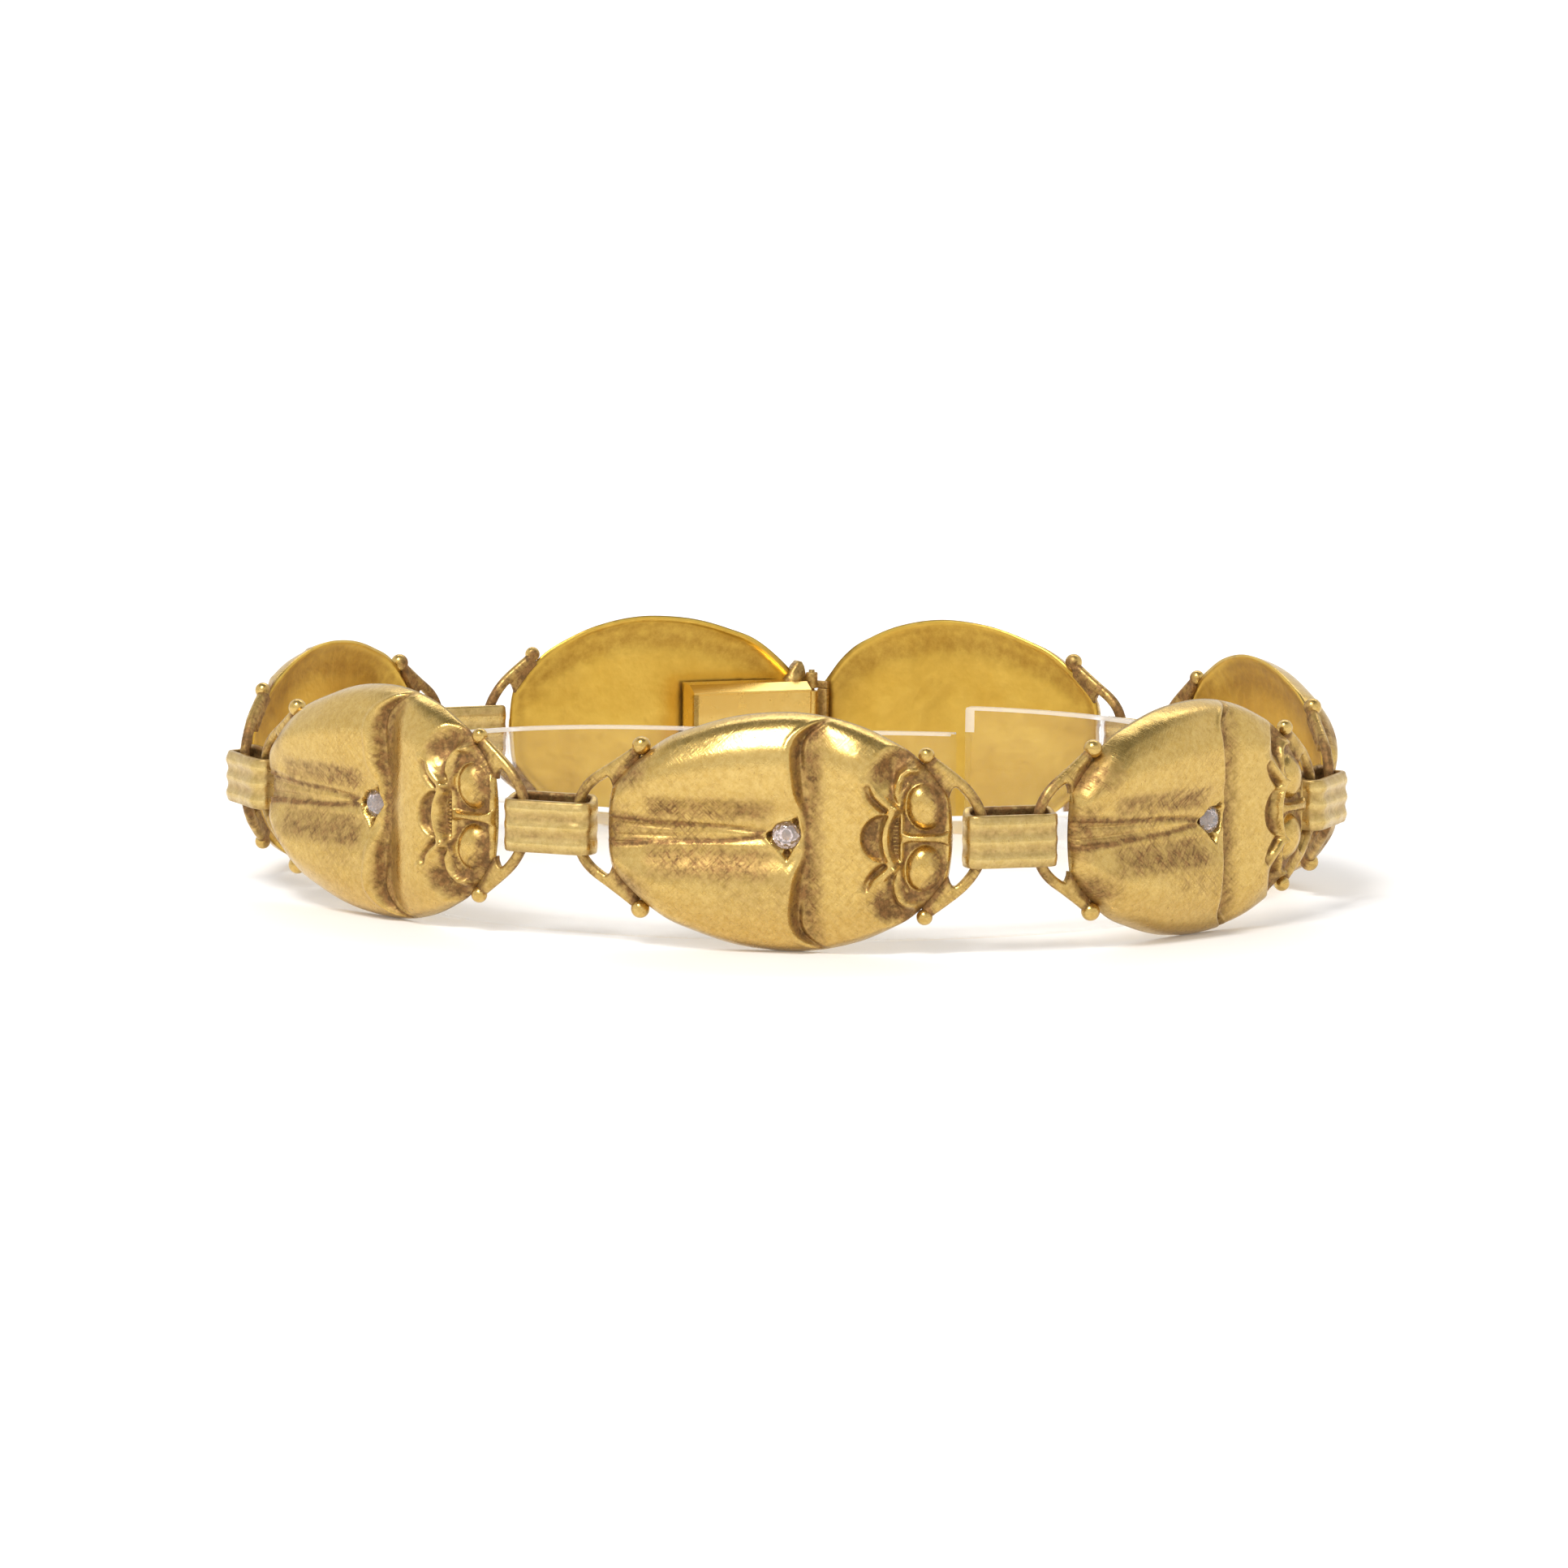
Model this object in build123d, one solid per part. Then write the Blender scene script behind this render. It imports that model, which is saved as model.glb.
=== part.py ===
from build123d import *
import math
import os
from collections import namedtuple

# Bracelet of seven gold beetle links on a split band of clear plastic.
# Millimetres, +Z up, the floor at Z = 0 and the origin at the middle of the ring.

# Beetle link: a hollow struck shell, open at the back
LINK_LENGTH = 18.3
LINK_HEIGHT = 12.9
DOME_RISE = 2.2
SHELL_WALL = 0.5
RIM_OUT = 0.5
EYE_LENGTH = 2.8
EYE_WIDTH = 1.9
EYE_SPACING = 3.3
CHEEK_RIDGE = 0.4
SUTURE_RIDGE = 0.36

# Wire hinge loops, soldered to the shell under a bead at each end
WIRE = 0.72
TAIL_BEAD = 0.94
HEAD_BEAD = 0.78
TAIL_REACH = 1.95
HEAD_REACH = 1.69
LOOP_BEND = 0.9
WEB = 0.5

# Fluted sleeve that joins two links
SLEEVE_LENGTH = 5.1
SLEEVE_HEIGHT = 2.85
SLEEVE_DEPTH = 2.1
SHEET = 0.38
HINGE_PITCH = 3.18
FLUTE_WIDTH = 0.42
FLUTE_DEPTH = 0.13
SLEEVE_DROP = 0.2
SLEEVE_PLAY = 0.15

# Round brilliant and its bright-cut seat
STONE = 1.5
STONE_PLAY = 0.04
SEAT_DEPTH = 0.3

# Box clasp between the two back links
BOX_LENGTH = 7.5
BOX_HEIGHT = 4.6
BOX_DEPTH = 2.1
BOX_WALL = 0.35
BOX_INWARD = 1.3
BOX_SETBACK = 0.1
LUG_WIDTH = 1.0
LUG_RISE = 1.3
LUG_DEPTH = 0.7
KNUCKLE = 0.86
KNUCKLE_BORE = 0.5
KNUCKLE_HEIGHT = 6.4
MIDDLE_KNUCKLE = 3.4
PIN = 0.36
CLASP_REACH = 0.55
TONGUE_SHEET = 0.35
TONGUE_PLAY = 0.15

# Clear band that holds the ring of links open
BAND_WIDTH = 51.0
BAND_DEPTH = 42.8
BAND_WALL = 1.1
BAND_HEIGHT = 6.75
BAND_LIFT = 1.6
BAND_SPLIT = 0.9
BAND_SPLIT_AT = 10.2
RAMP = (-0.75, 0.3)

# Sections of the shell: share of the length from the tail, then shares of half the height
# and of the rise for the outline, the shoulder, the crown of each wing and the middle
Section = namedtuple("Section", "along half shoulder crown middle")
WINGS = [
    Section(0.000, 0.345, 0.26, 0.36, 0.34),
    Section(0.030, 0.440, 0.44, 0.62, 0.50),
    Section(0.100, 0.620, 0.58, 0.84, 0.60),
    Section(0.220, 0.810, 0.64, 0.95, 0.62),
    Section(0.390, 0.960, 0.66, 1.00, 0.64),
    Section(0.520, 0.996, 0.64, 0.97, 0.64),
    Section(0.610, 0.985, 0.60, 0.93, 0.64),
]
THORAX = [
    Section(0.500, 0.988, 0.28, 0.42, 0.40),
    Section(0.585, 0.990, 0.32, 0.45, 0.43),
    Section(0.640, 0.958, 0.58, 0.72, 0.70),
    Section(0.695, 0.922, 0.62, 0.80, 0.77),
    Section(0.765, 0.866, 0.54, 0.68, 0.64),
    Section(0.825, 0.787, 0.42, 0.52, 0.50),
    Section(0.865, 0.725, 0.28, 0.37, 0.36),
    Section(0.930, 0.590, 0.20, 0.28, 0.27),
    Section(1.000, 0.345, 0.12, 0.17, 0.16),
]
SHOULDER_AT = 0.86
CROWN_AT = 0.43
SIDE_BULGE = 0.965
SIDE_LIFT = 0.6
HOLLOW_LEAST = (0.06, 0.15, 0.11)
HOLLOW_CUT = 0.3

# Front edge of the wings, as shares of the length and of half the height
WING_EDGE = [(0.572, 0.0), (0.545, 0.28), (0.530, 0.52), (0.548, 0.78), (0.610, 1.05)]
# Ridge of the cheeks, a flat W in front of the eyes, as shares of the same two sizes
CHEEKS = [(0.757, 0.45), (0.842, 0.19), (0.815, 0.0), (0.842, -0.19), (0.757, -0.45)]
CHEEK_BEND = 0.35
CHEEK_PROUD = 0.3
EYES_ALONG = 0.927
STONE_ALONG = 0.530
TAIL_BEAD_ALONG = 0.087
HEAD_BEAD_ALONG = 0.930
BEAD_OUT = 0.72
# Bright-cut seat round the stone, in stone diameters along and up
SEAT = [(-0.76, 0.0), (0.30, 0.64), (0.42, 0.0), (0.06, -0.78)]

# Directions of the pieces round the ring in degrees, each from its tail to its head
Turn = namedtuple("Turn", "piece heading")
RING = [
    Turn("front_centre", -9),
    Turn("sleeve", 17),
    Turn("front_right", 44.5),
    Turn("sleeve", 67),
    Turn("right", 111.5),
    Turn("sleeve", 141),
    Turn("back_right", 152),
    Turn("back_left", 200),
    Turn("sleeve", 203.5),
    Turn("left", 243),
    Turn("sleeve", 296),
    Turn("front_left", 314),
    Turn("sleeve", 339.5),
]
CLASP_HINGE_LINK = "back_right"
CLASP_BOX_LINK = "back_left"

TAIL_END = -LINK_LENGTH / 2
HEAD_END = LINK_LENGTH / 2
TAIL_BAR = TAIL_END - TAIL_REACH
HEAD_BAR = HEAD_END + HEAD_REACH
CLASP_HINGE = HEAD_END + CLASP_REACH
BOX_HINGE = TAIL_END - CLASP_REACH
BAR_HALF = SLEEVE_HEIGHT / 2 + SLEEVE_DROP + SLEEVE_PLAY
MID_HEIGHT = LINK_HEIGHT / 2


def station(share):
    """Distance along the link of a share of its length, from its middle."""
    return (share - 0.5) * LINK_LENGTH


def between(table, share):
    """The section of a table at a share of the length, straight between its rows."""
    share = min(max(share, table[0].along), table[-1].along)
    for low, high in zip(table, table[1:]):
        if share <= high.along:
            part = (share - low.along) / (high.along - low.along)
            return Section(*(a + (b - a) * part for a, b in zip(low, high)))


def shell_height(share, up):
    """Height of the outer face over the rim at a place on the link."""
    table = WINGS if share < WING_EDGE[0][0] else THORAX
    row = between(table, share)
    place = abs(up) / (row.half * LINK_HEIGHT / 2)
    middle = row.middle * (place - CROWN_AT) * (place - SHOULDER_AT) / (CROWN_AT * SHOULDER_AT)
    crown = row.crown * place * (place - SHOULDER_AT) / (CROWN_AT * (CROWN_AT - SHOULDER_AT))
    shoulder = row.shoulder * place * (place - CROWN_AT) / (SHOULDER_AT * (SHOULDER_AT - CROWN_AT))
    return (middle + crown + shoulder) * DOME_RISE


def outline(share):
    """Half the height of the link at a share of its length."""
    table = WINGS if share < WING_EDGE[0][0] else THORAX
    return between(table, share).half * LINK_HEIGHT / 2


def arch(half, shoulder, crown, middle, base):
    """Closed section: a flat base, two steep sides and a crown for each wing."""
    side = half * SIDE_BULGE
    lift = shoulder * SIDE_LIFT
    edges = [Line((-half, base), (half, base))]
    if base < 0:
        edges += [Line((half, base), (half, 0)), Line((-half, base), (-half, 0))]
    for hand in (1, -1):
        turn = (hand * half * SHOULDER_AT, shoulder)
        edges.append(ThreePointArc((hand * half, 0), (hand * side, lift), turn))
        edges.append(ThreePointArc(turn, (hand * half * CROWN_AT, crown), (0, middle)))
    return make_face(edges)


def dome(table):
    """Outer solid lofted through the sections of a table."""
    faces = []
    for row in table:
        plane = Plane(origin=(station(row.along), 0, RIM_OUT), x_dir=(0, 1, 0), z_dir=(1, 0, 0))
        heights = [share * DOME_RISE for share in (row.shoulder, row.crown, row.middle)]
        faces.append(plane * arch(row.half * LINK_HEIGHT / 2, *heights, 0))
    return loft(faces)


def hollow(table, tail_inset, head_inset):
    """Inside of a dome, one wall smaller all round and open at the rim."""
    low = table[0].along + tail_inset / LINK_LENGTH
    high = table[-1].along - head_inset / LINK_LENGTH
    shares = [low] + [row.along for row in table if low < row.along < high] + [high]
    faces = []
    for share in shares:
        row = between(table, share)
        plane = Plane(origin=(station(share), 0, RIM_OUT), x_dir=(0, 1, 0), z_dir=(1, 0, 0))
        outer = [part * DOME_RISE for part in (row.shoulder, row.crown, row.middle)]
        heights = [max(height - SHELL_WALL, least) for height, least in zip(outer, HOLLOW_LEAST)]
        faces.append(plane * arch(row.half * LINK_HEIGHT / 2 - SHELL_WALL, *heights, -HOLLOW_CUT))
    return loft(faces)


def wing_trim():
    """Everything in front of the curved front edge of the wings."""
    rows = [(station(along), up * LINK_HEIGHT / 2) for along, up in WING_EDGE]
    lower = [(along, -up) for along, up in reversed(rows[1:])]
    edge = Spline(*lower, *rows)
    front = HEAD_END
    top = rows[-1][1]
    rest = Polyline(rows[-1], (front, top), (front, -top), lower[0])
    face = make_face([edge, rest])
    return Pos(0, 0, RIM_OUT + DOME_RISE) * extrude(face, amount=DOME_RISE + RIM_OUT, both=True)


def ridge(rows, width):
    """Raised line through places on the shell, as round sections across the link."""
    faces = []
    for share, up in rows:
        spot = (station(share), up, RIM_OUT + shell_height(share, up))
        faces.append(Plane(origin=spot, x_dir=(0, 1, 0), z_dir=(1, 0, 0)) * Circle(width / 2))
    return loft(faces)


def suture():
    """Ridge between the wings, which parts into a narrow V at the tail."""
    start = STONE_ALONG - STONE * 0.9 / LINK_LENGTH
    spread = SUTURE_RIDGE * 1.6
    arms = []
    for hand in (1, -1):
        rows = [(start, 0), (0.25, hand * spread * 0.3), (0.12, hand * spread * 0.8), (0.04, hand * spread)]
        arms.append(ridge(rows, SUTURE_RIDGE))
    return arms[0] + arms[1]


def cheeks():
    """W-shaped ridge between the thorax and the eyes."""
    points = []
    for share, up in CHEEKS:
        rise = up * LINK_HEIGHT / 2
        points.append((station(share), rise, RIM_OUT + shell_height(share, rise) + CHEEK_RIDGE * CHEEK_PROUD))
    path = FilletPolyline(*points, radius=CHEEK_BEND)
    bead = Plane(origin=path @ 0, z_dir=path % 0) * Circle(CHEEK_RIDGE / 2)
    return sweep(bead, path=path)


def eyes():
    """Two long eyes side by side with a narrow bar between them."""
    middle = station(EYES_ALONG)
    half = Ellipse(EYE_WIDTH / 2, EYE_LENGTH / 2) & Pos(EYE_WIDTH / 2, 0) * Rectangle(EYE_WIDTH, EYE_LENGTH)
    eye = revolve(half, axis=Axis.Y)
    seat = RIM_OUT + EYE_WIDTH * 0.04
    pair = [Pos(middle, hand * EYE_SPACING / 2, seat) * eye for hand in (1, -1)]
    length = EYE_WIDTH * 1.05
    bar = Plane(origin=(middle - length / 2, 0, RIM_OUT + shell_height(EYES_ALONG, 0)), z_dir=(1, 0, 0))
    pair.append(extrude(bar * Circle(CHEEK_RIDGE * 0.6), amount=length))
    under = Pos(middle, 0, RIM_OUT - EYE_WIDTH) * Box(LINK_LENGTH / 2, LINK_HEIGHT, EYE_WIDTH * 2)
    return [piece - under for piece in pair]


def wire_loop(bar, bead_along, bead):
    """Wire from bead to bead round the hinge bar, with the solder web under each end."""
    bead_at = station(bead_along)
    bead_up = outline(bead_along) + BEAD_OUT
    points = [
        (bead_at, bead_up, RIM_OUT),
        (bar, BAR_HALF, 0),
        (bar, -BAR_HALF, 0),
        (bead_at, -bead_up, RIM_OUT),
    ]
    path = FilletPolyline(*points, radius=LOOP_BEND)
    metal = [sweep(Plane(origin=path @ 0, z_dir=path % 0) * Circle(WIRE / 2), path=path)]
    end = TAIL_END if bar < 0 else HEAD_END
    share = 0.012 if bar < 0 else 0.988
    inward = 1 if bar < 0 else -1
    for hand in (1, -1):
        metal.append(Pos(bead_at, hand * bead_up, RIM_OUT) * Sphere(bead / 2))
        corners = [
            (bead_at, hand * bead_up),
            (end - inward * WIRE * 0.75, hand * (outline(share) + WIRE * 0.6)),
            (end + inward * SHELL_WALL, hand * (outline(share) - SHELL_WALL)),
            (bead_at + inward * SHELL_WALL, hand * (outline(bead_along) - SHELL_WALL / 2)),
        ]
        web = extrude(make_face(Polyline(*corners, close=True)), amount=WEB)
        metal.append(Pos(0, 0, RIM_OUT - WEB / 3) * web)
    return metal


def stone_height():
    """Height of the stone's girdle over the hinge line."""
    return RIM_OUT + shell_height(STONE_ALONG, 0) - SEAT_DEPTH * 0.4


def stone():
    """Round brilliant: table, eight crown facets, girdle and eight pavilion facets."""
    levels = [(0.56, 0.16), (1.0, 0.0), (1.0, -0.03), (0.04, -0.45)]
    faces = []
    for width, level in levels:
        outline_face = RegularPolygon(STONE * width / 2, 8)
        faces.append(Pos(station(STONE_ALONG), 0, stone_height() + level * STONE) * outline_face)
    return loft(faces, ruled=True)


def stone_seat():
    """Cut for the stone: a bright-cut kite over a drilled and countersunk hole."""
    place = Pos(station(STONE_ALONG), 0, stone_height() - SEAT_DEPTH * 0.25)
    kite = make_face(Polyline(*[(along * STONE, up * STONE) for along, up in SEAT], close=True))
    hole = STONE / 2 + STONE_PLAY
    cut = extrude(kite, amount=DOME_RISE)
    cut += extrude(Circle(hole), amount=DOME_RISE)
    cut += Pos(0, 0, -STONE / 2) * Cone(hole * 0.3, hole, STONE, align=(Align.CENTER, Align.CENTER, Align.CENTER))
    return place * cut


def clasp_box():
    """Box soldered into the back of a link, open at the tail, with a peaked lug beside it."""
    align = (Align.MIN, Align.CENTER, Align.MIN)
    mouth = TAIL_END + BOX_SETBACK
    body = Pos(mouth, 0, -BOX_INWARD) * Box(BOX_LENGTH, BOX_HEIGHT, BOX_DEPTH, align=align)
    inside = Box(BOX_LENGTH - BOX_WALL, BOX_HEIGHT - 2 * BOX_WALL, BOX_DEPTH - 2 * BOX_WALL, align=align)
    foot = BOX_HEIGHT / 2 - BOX_WALL
    peak = [(mouth, foot), (mouth + LUG_WIDTH, foot), (mouth + LUG_WIDTH / 3, BOX_HEIGHT / 2 + LUG_RISE)]
    lug = extrude(make_face(Polyline(*peak, close=True)), amount=LUG_DEPTH)
    return (body - Pos(mouth, 0, -BOX_INWARD + BOX_WALL) * inside) + lug


def clasp_tongue():
    """Folded spring tongue, hung on the pin of the next link by its middle knuckle."""
    align = (Align.MIN, Align.CENTER, Align.CENTER)
    turn = Pos(BOX_HINGE, 0, 0) * Rot(90, 0, 0)
    reach = BOX_LENGTH + BOX_SETBACK - BOX_WALL + CLASP_REACH - TONGUE_PLAY * 2
    width = MIDDLE_KNUCKLE
    plate = Pos(BOX_HINGE, 0, 0) * Box(reach, width, TONGUE_SHEET, align=align)
    low = -BOX_INWARD + BOX_WALL + TONGUE_PLAY
    near = TAIL_END + BOX_SETBACK + TONGUE_PLAY * 3
    fold = [
        (BOX_HINGE + reach, TONGUE_SHEET / 2),
        (BOX_HINGE + reach, -TONGUE_SHEET / 2),
        (near, low),
        (near, low + TONGUE_SHEET),
    ]
    leaf = extrude(Plane.XZ * make_face(Polyline(*fold, close=True)), amount=width / 2, both=True)
    metal = turn * Cylinder(KNUCKLE / 2, width) + [plate, leaf]
    return metal - turn * Cylinder(KNUCKLE_BORE / 2, width * 2)


def clasp_knuckles():
    """Two hinge knuckles and their pin at the head of a link, with their root plates."""
    outer = (KNUCKLE_HEIGHT - MIDDLE_KNUCKLE) / 2 - TONGUE_PLAY
    lift = (MIDDLE_KNUCKLE / 2 + TONGUE_PLAY) + outer / 2
    turn = Pos(CLASP_HINGE, 0, 0) * Rot(90, 0, 0)
    metal = [turn * Cylinder(PIN / 2, KNUCKLE_HEIGHT)]
    for hand in (1, -1):
        metal.append(Pos(0, hand * lift, 0) * (turn * Cylinder(KNUCKLE / 2, outer)))
        root = Box(CLASP_REACH + SHELL_WALL, outer, WEB + RIM_OUT, align=(Align.MIN, Align.CENTER, Align.MIN))
        metal.append(Pos(HEAD_END - SHELL_WALL, hand * lift, 0) * root)
    return metal


def beetle_shell():
    """Struck shell with its raised relief and the stone's seat, before soldering."""
    wing_inset = (WINGS[-1].along - min(along for along, up in WING_EDGE)) * LINK_LENGTH + SHELL_WALL
    shell = (dome(WINGS) - wing_trim()) + dome(THORAX)
    shell -= [hollow(WINGS, SHELL_WALL, wing_inset), hollow(THORAX, 0, SHELL_WALL)]
    shell += [suture(), cheeks()] + eyes()
    return shell - stone_seat()


def beetle(shell, name):
    """One link, soldered up: the shell with its hinge loops or its half of the clasp."""
    if name == CLASP_BOX_LINK:
        metal = [clasp_box()]
    else:
        metal = wire_loop(TAIL_BAR, TAIL_BEAD_ALONG, TAIL_BEAD)
    if name == CLASP_HINGE_LINK:
        metal += clasp_knuckles()
    else:
        metal += wire_loop(HEAD_BAR, HEAD_BEAD_ALONG, HEAD_BEAD)
    return shell + metal


def sleeve():
    """Strip wrapped into a flat upright sleeve, with flutes pressed in all round."""
    def band(length, depth, height):
        return extrude(SlotOverall(length, depth), amount=height / 2, both=True)

    body = band(SLEEVE_LENGTH, SLEEVE_DEPTH, SLEEVE_HEIGHT)
    skin = band(SLEEVE_LENGTH + SHEET, SLEEVE_DEPTH + SHEET, FLUTE_WIDTH)
    core = band(SLEEVE_LENGTH - 2 * FLUTE_DEPTH, SLEEVE_DEPTH - 2 * FLUTE_DEPTH, FLUTE_WIDTH)
    for hand in (1, -1):
        body -= Pos(0, 0, hand * SLEEVE_HEIGHT / 6) * (skin - core)
    body -= band(SLEEVE_LENGTH - 2 * SHEET, SLEEVE_DEPTH - 2 * SHEET, SLEEVE_HEIGHT)
    return Pos(0, 0, -SLEEVE_DROP) * body


def clear_band():
    """Split oval ring of clear strip, whose rim rises towards one end of the split."""
    wide = BAND_WIDTH / 2
    deep = BAND_DEPTH / 2
    oval = Ellipse(wide, deep) - Ellipse(wide - BAND_WALL, deep - BAND_WALL)
    full = BAND_HEIGHT + BAND_LIFT
    start, level = (share * deep for share in RAMP)
    profile = [(start, 0), (start, BAND_HEIGHT), (level, full), (deep, full), (deep, 0)]
    beside = Pos(BAND_SPLIT_AT, 0, 0) * extrude(Plane.YZ * make_face(Polyline(*profile, close=True)), amount=wide)
    raised = extrude(oval, amount=full) & beside
    slot = Pos(BAND_SPLIT_AT, deep / 2, full / 2) * Box(BAND_SPLIT, deep, full)
    return (extrude(oval, amount=BAND_HEIGHT) + raised) - slot


def piece_length(turn):
    """Distance between the two hinges of a piece of the ring."""
    if turn.piece == "sleeve":
        return HINGE_PITCH
    head = CLASP_HINGE if turn.piece == CLASP_HINGE_LINK else HEAD_BAR
    tail = BOX_HINGE if turn.piece == CLASP_BOX_LINK else TAIL_BAR
    return head - tail


def close_ring():
    """Headings in radians, turned as little as will bring the last hinge to the first."""
    headings = [math.radians(turn.heading) for turn in RING]
    lengths = [piece_length(turn) for turn in RING]
    for _ in range(20):
        miss_x = sum(length * math.cos(h) for length, h in zip(lengths, headings))
        miss_y = sum(length * math.sin(h) for length, h in zip(lengths, headings))
        moves = [(-length * math.sin(h), length * math.cos(h)) for length, h in zip(lengths, headings)]
        xx = sum(x * x for x, y in moves)
        xy = sum(x * y for x, y in moves)
        yy = sum(y * y for x, y in moves)
        scale = xx * yy - xy * xy
        pull_x = (-miss_x * yy + miss_y * xy) / scale
        pull_y = (-miss_y * xx + miss_x * xy) / scale
        headings = [h + x * pull_x + y * pull_y for h, (x, y) in zip(headings, moves)]
    return headings


def ring_places():
    """Plane of every piece: X from tail to head, Y up, Z outward, origin at its middle."""
    at = Vector(0, 0, MID_HEIGHT)
    places = []
    for turn, heading in zip(RING, close_ring()):
        ahead = Vector(math.cos(heading), math.sin(heading), 0)
        outward = Vector(math.sin(heading), -math.cos(heading), 0)
        tail = HINGE_PITCH / 2
        if turn.piece != "sleeve":
            tail = -(BOX_HINGE if turn.piece == CLASP_BOX_LINK else TAIL_BAR)
        places.append((turn.piece, at + ahead * tail, ahead, outward))
        at = at + ahead * piece_length(turn)
    links = [origin for piece, origin, ahead, outward in places if piece != "sleeve"]
    middle = Vector(sum(o.X for o in links) / len(links), sum(o.Y for o in links) / len(links), 0)
    return [(piece, Plane(origin - middle, x_dir=ahead, z_dir=outward)) for piece, origin, ahead, outward in places]


def build():
    """All nodes by name, in the frame of the ring."""
    shell = beetle_shell()
    plain = beetle(shell, "")
    nodes = {}
    sleeves = 0
    for piece, plane in ring_places():
        if piece == "sleeve":
            sleeves += 1
            upright = Plane(plane.origin, x_dir=plane.x_dir, z_dir=(0, 0, 1))
            nodes[f"connector_{sleeves}"] = upright.location * sleeve()
            continue
        special = piece in (CLASP_HINGE_LINK, CLASP_BOX_LINK)
        nodes[f"scarab_{piece}"] = plane.location * (beetle(shell, piece) if special else plain)
        nodes[f"diamond_{piece}"] = plane.location * stone()
        if piece == CLASP_BOX_LINK:
            nodes["clasp_tongue"] = plane.location * clasp_tongue()
    nodes["clear_band"] = clear_band()
    return nodes


def main():
    os.makedirs("parts", exist_ok=True)
    nodes = build()
    box = Compound(children=[Compound([solid for solid in node.solids()]) for node in nodes.values()]).bounding_box()
    middle = box.center()
    for name, node in nodes.items():
        moved = Pos(-middle.X, -middle.Y, -box.min.Z) * node
        export_step(moved, f"parts/{name}.step")


main()
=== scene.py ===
import math

import bmesh
import bpy
import numpy as np
from mathutils import Matrix, Vector


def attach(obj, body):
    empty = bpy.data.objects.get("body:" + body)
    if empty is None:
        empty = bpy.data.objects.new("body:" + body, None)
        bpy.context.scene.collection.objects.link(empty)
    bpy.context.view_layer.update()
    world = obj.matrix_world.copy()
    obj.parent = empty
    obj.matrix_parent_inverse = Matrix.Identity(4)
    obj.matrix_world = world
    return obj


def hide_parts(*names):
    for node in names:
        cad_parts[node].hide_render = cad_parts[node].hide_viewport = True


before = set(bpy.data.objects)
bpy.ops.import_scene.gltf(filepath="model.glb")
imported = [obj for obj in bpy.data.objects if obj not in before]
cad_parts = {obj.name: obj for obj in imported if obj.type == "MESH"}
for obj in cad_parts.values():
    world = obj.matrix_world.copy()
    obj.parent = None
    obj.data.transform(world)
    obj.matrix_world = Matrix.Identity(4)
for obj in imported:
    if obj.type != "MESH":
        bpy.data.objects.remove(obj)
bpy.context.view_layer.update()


# Beetle shells. Each link is a hollow shell, struck in 14 karat gold sheet over a steel die and then
# chased by hand: two wings, a thorax, a W-shaped lip, cheeks and two eyes in low relief.
# Sizes are in millimetres on the link: along from tail to head, up, and out from the rim's plane.
MM = 0.001
END = 9.15
RIM_OUT = 0.5
STONE_ALONG = 0.549
TABLE_OUT = 2.028
RIM_SHEET = 0.22

# Places along the link and half its height there
OUTLINE = [
    (-9.15, 2.15), (-8.6, 2.82), (-7.6, 3.82), (-6.3, 4.82), (-4.5, 5.57), (-2.5, 6.16), (-0.5, 6.43),
    (0.9, 6.47), (2.1, 6.36), (3.1, 6.17), (4.6, 5.73), (5.9, 5.14), (7.2, 4.38), (8.2, 3.4), (8.8, 2.6),
    (9.15, 2.15),
]
# Places along the link and the height out of each form there
WING_CROWN = [
    (-9.15, 0.85), (-8.7, 1.3), (-8.0, 1.62), (-7.0, 1.88), (-5.0, 2.09), (-2.0, 2.2), (0.4, 2.15),
    (2.2, 2.05),
]
WING_SEAM = [(-9.15, 0.7), (-8.7, 0.95), (-8.0, 1.1), (-6.5, 1.25), (-4.5, 1.34), (-2.0, 1.4), (2.2, 1.42)]
THORAX = [
    (0.6, 1.2), (1.5, 1.2), (1.9, 1.24), (2.3, 1.36), (2.8, 1.54), (3.3, 1.67), (3.8, 1.74), (4.3, 1.77),
    (4.8, 1.74), (5.3, 1.68), (5.8, 1.6), (6.8, 1.4),
]
HEAD = [(5.0, 1.05), (6.4, 1.0), (7.2, 0.7), (8.2, 0.45), (9.15, 0.36)]
# Shares of half the height, and of the crown's height that is left there
SHOULDER = [
    (0.0, 1.0), (0.5, 1.0), (0.6, 0.996), (0.672, 0.965), (0.742, 0.895), (0.79, 0.818), (0.84, 0.726),
    (0.89, 0.622), (0.92, 0.537), (0.945, 0.444), (0.97, 0.295), (0.985, 0.161), (1.0, 0.0),
]
# Distances up from the middle and the place along of the wings' front edge and of the thorax's
WING_FRONT = [
    (0.0, 1.5), (0.6, 1.5), (1.2, 1.44), (1.8, 1.24), (2.5, 1.08), (3.3, 0.98), (4.2, 0.88), (4.8, 0.9),
    (5.3, 1.1), (5.7, 1.5), (6.1, 2.1), (6.6, 2.9),
]
THORAX_FRONT = [
    (0.0, 6.06), (0.57, 6.12), (1.1, 6.32), (1.45, 6.54), (1.62, 6.54), (1.8, 6.34), (2.0, 6.1),
    (2.4, 5.72), (3.0, 5.3), (3.5, 5.16), (4.0, 5.2), (4.5, 5.34), (4.9, 5.7), (5.3, 6.4), (5.6, 7.5),
    (6.6, 8.5),
]
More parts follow.
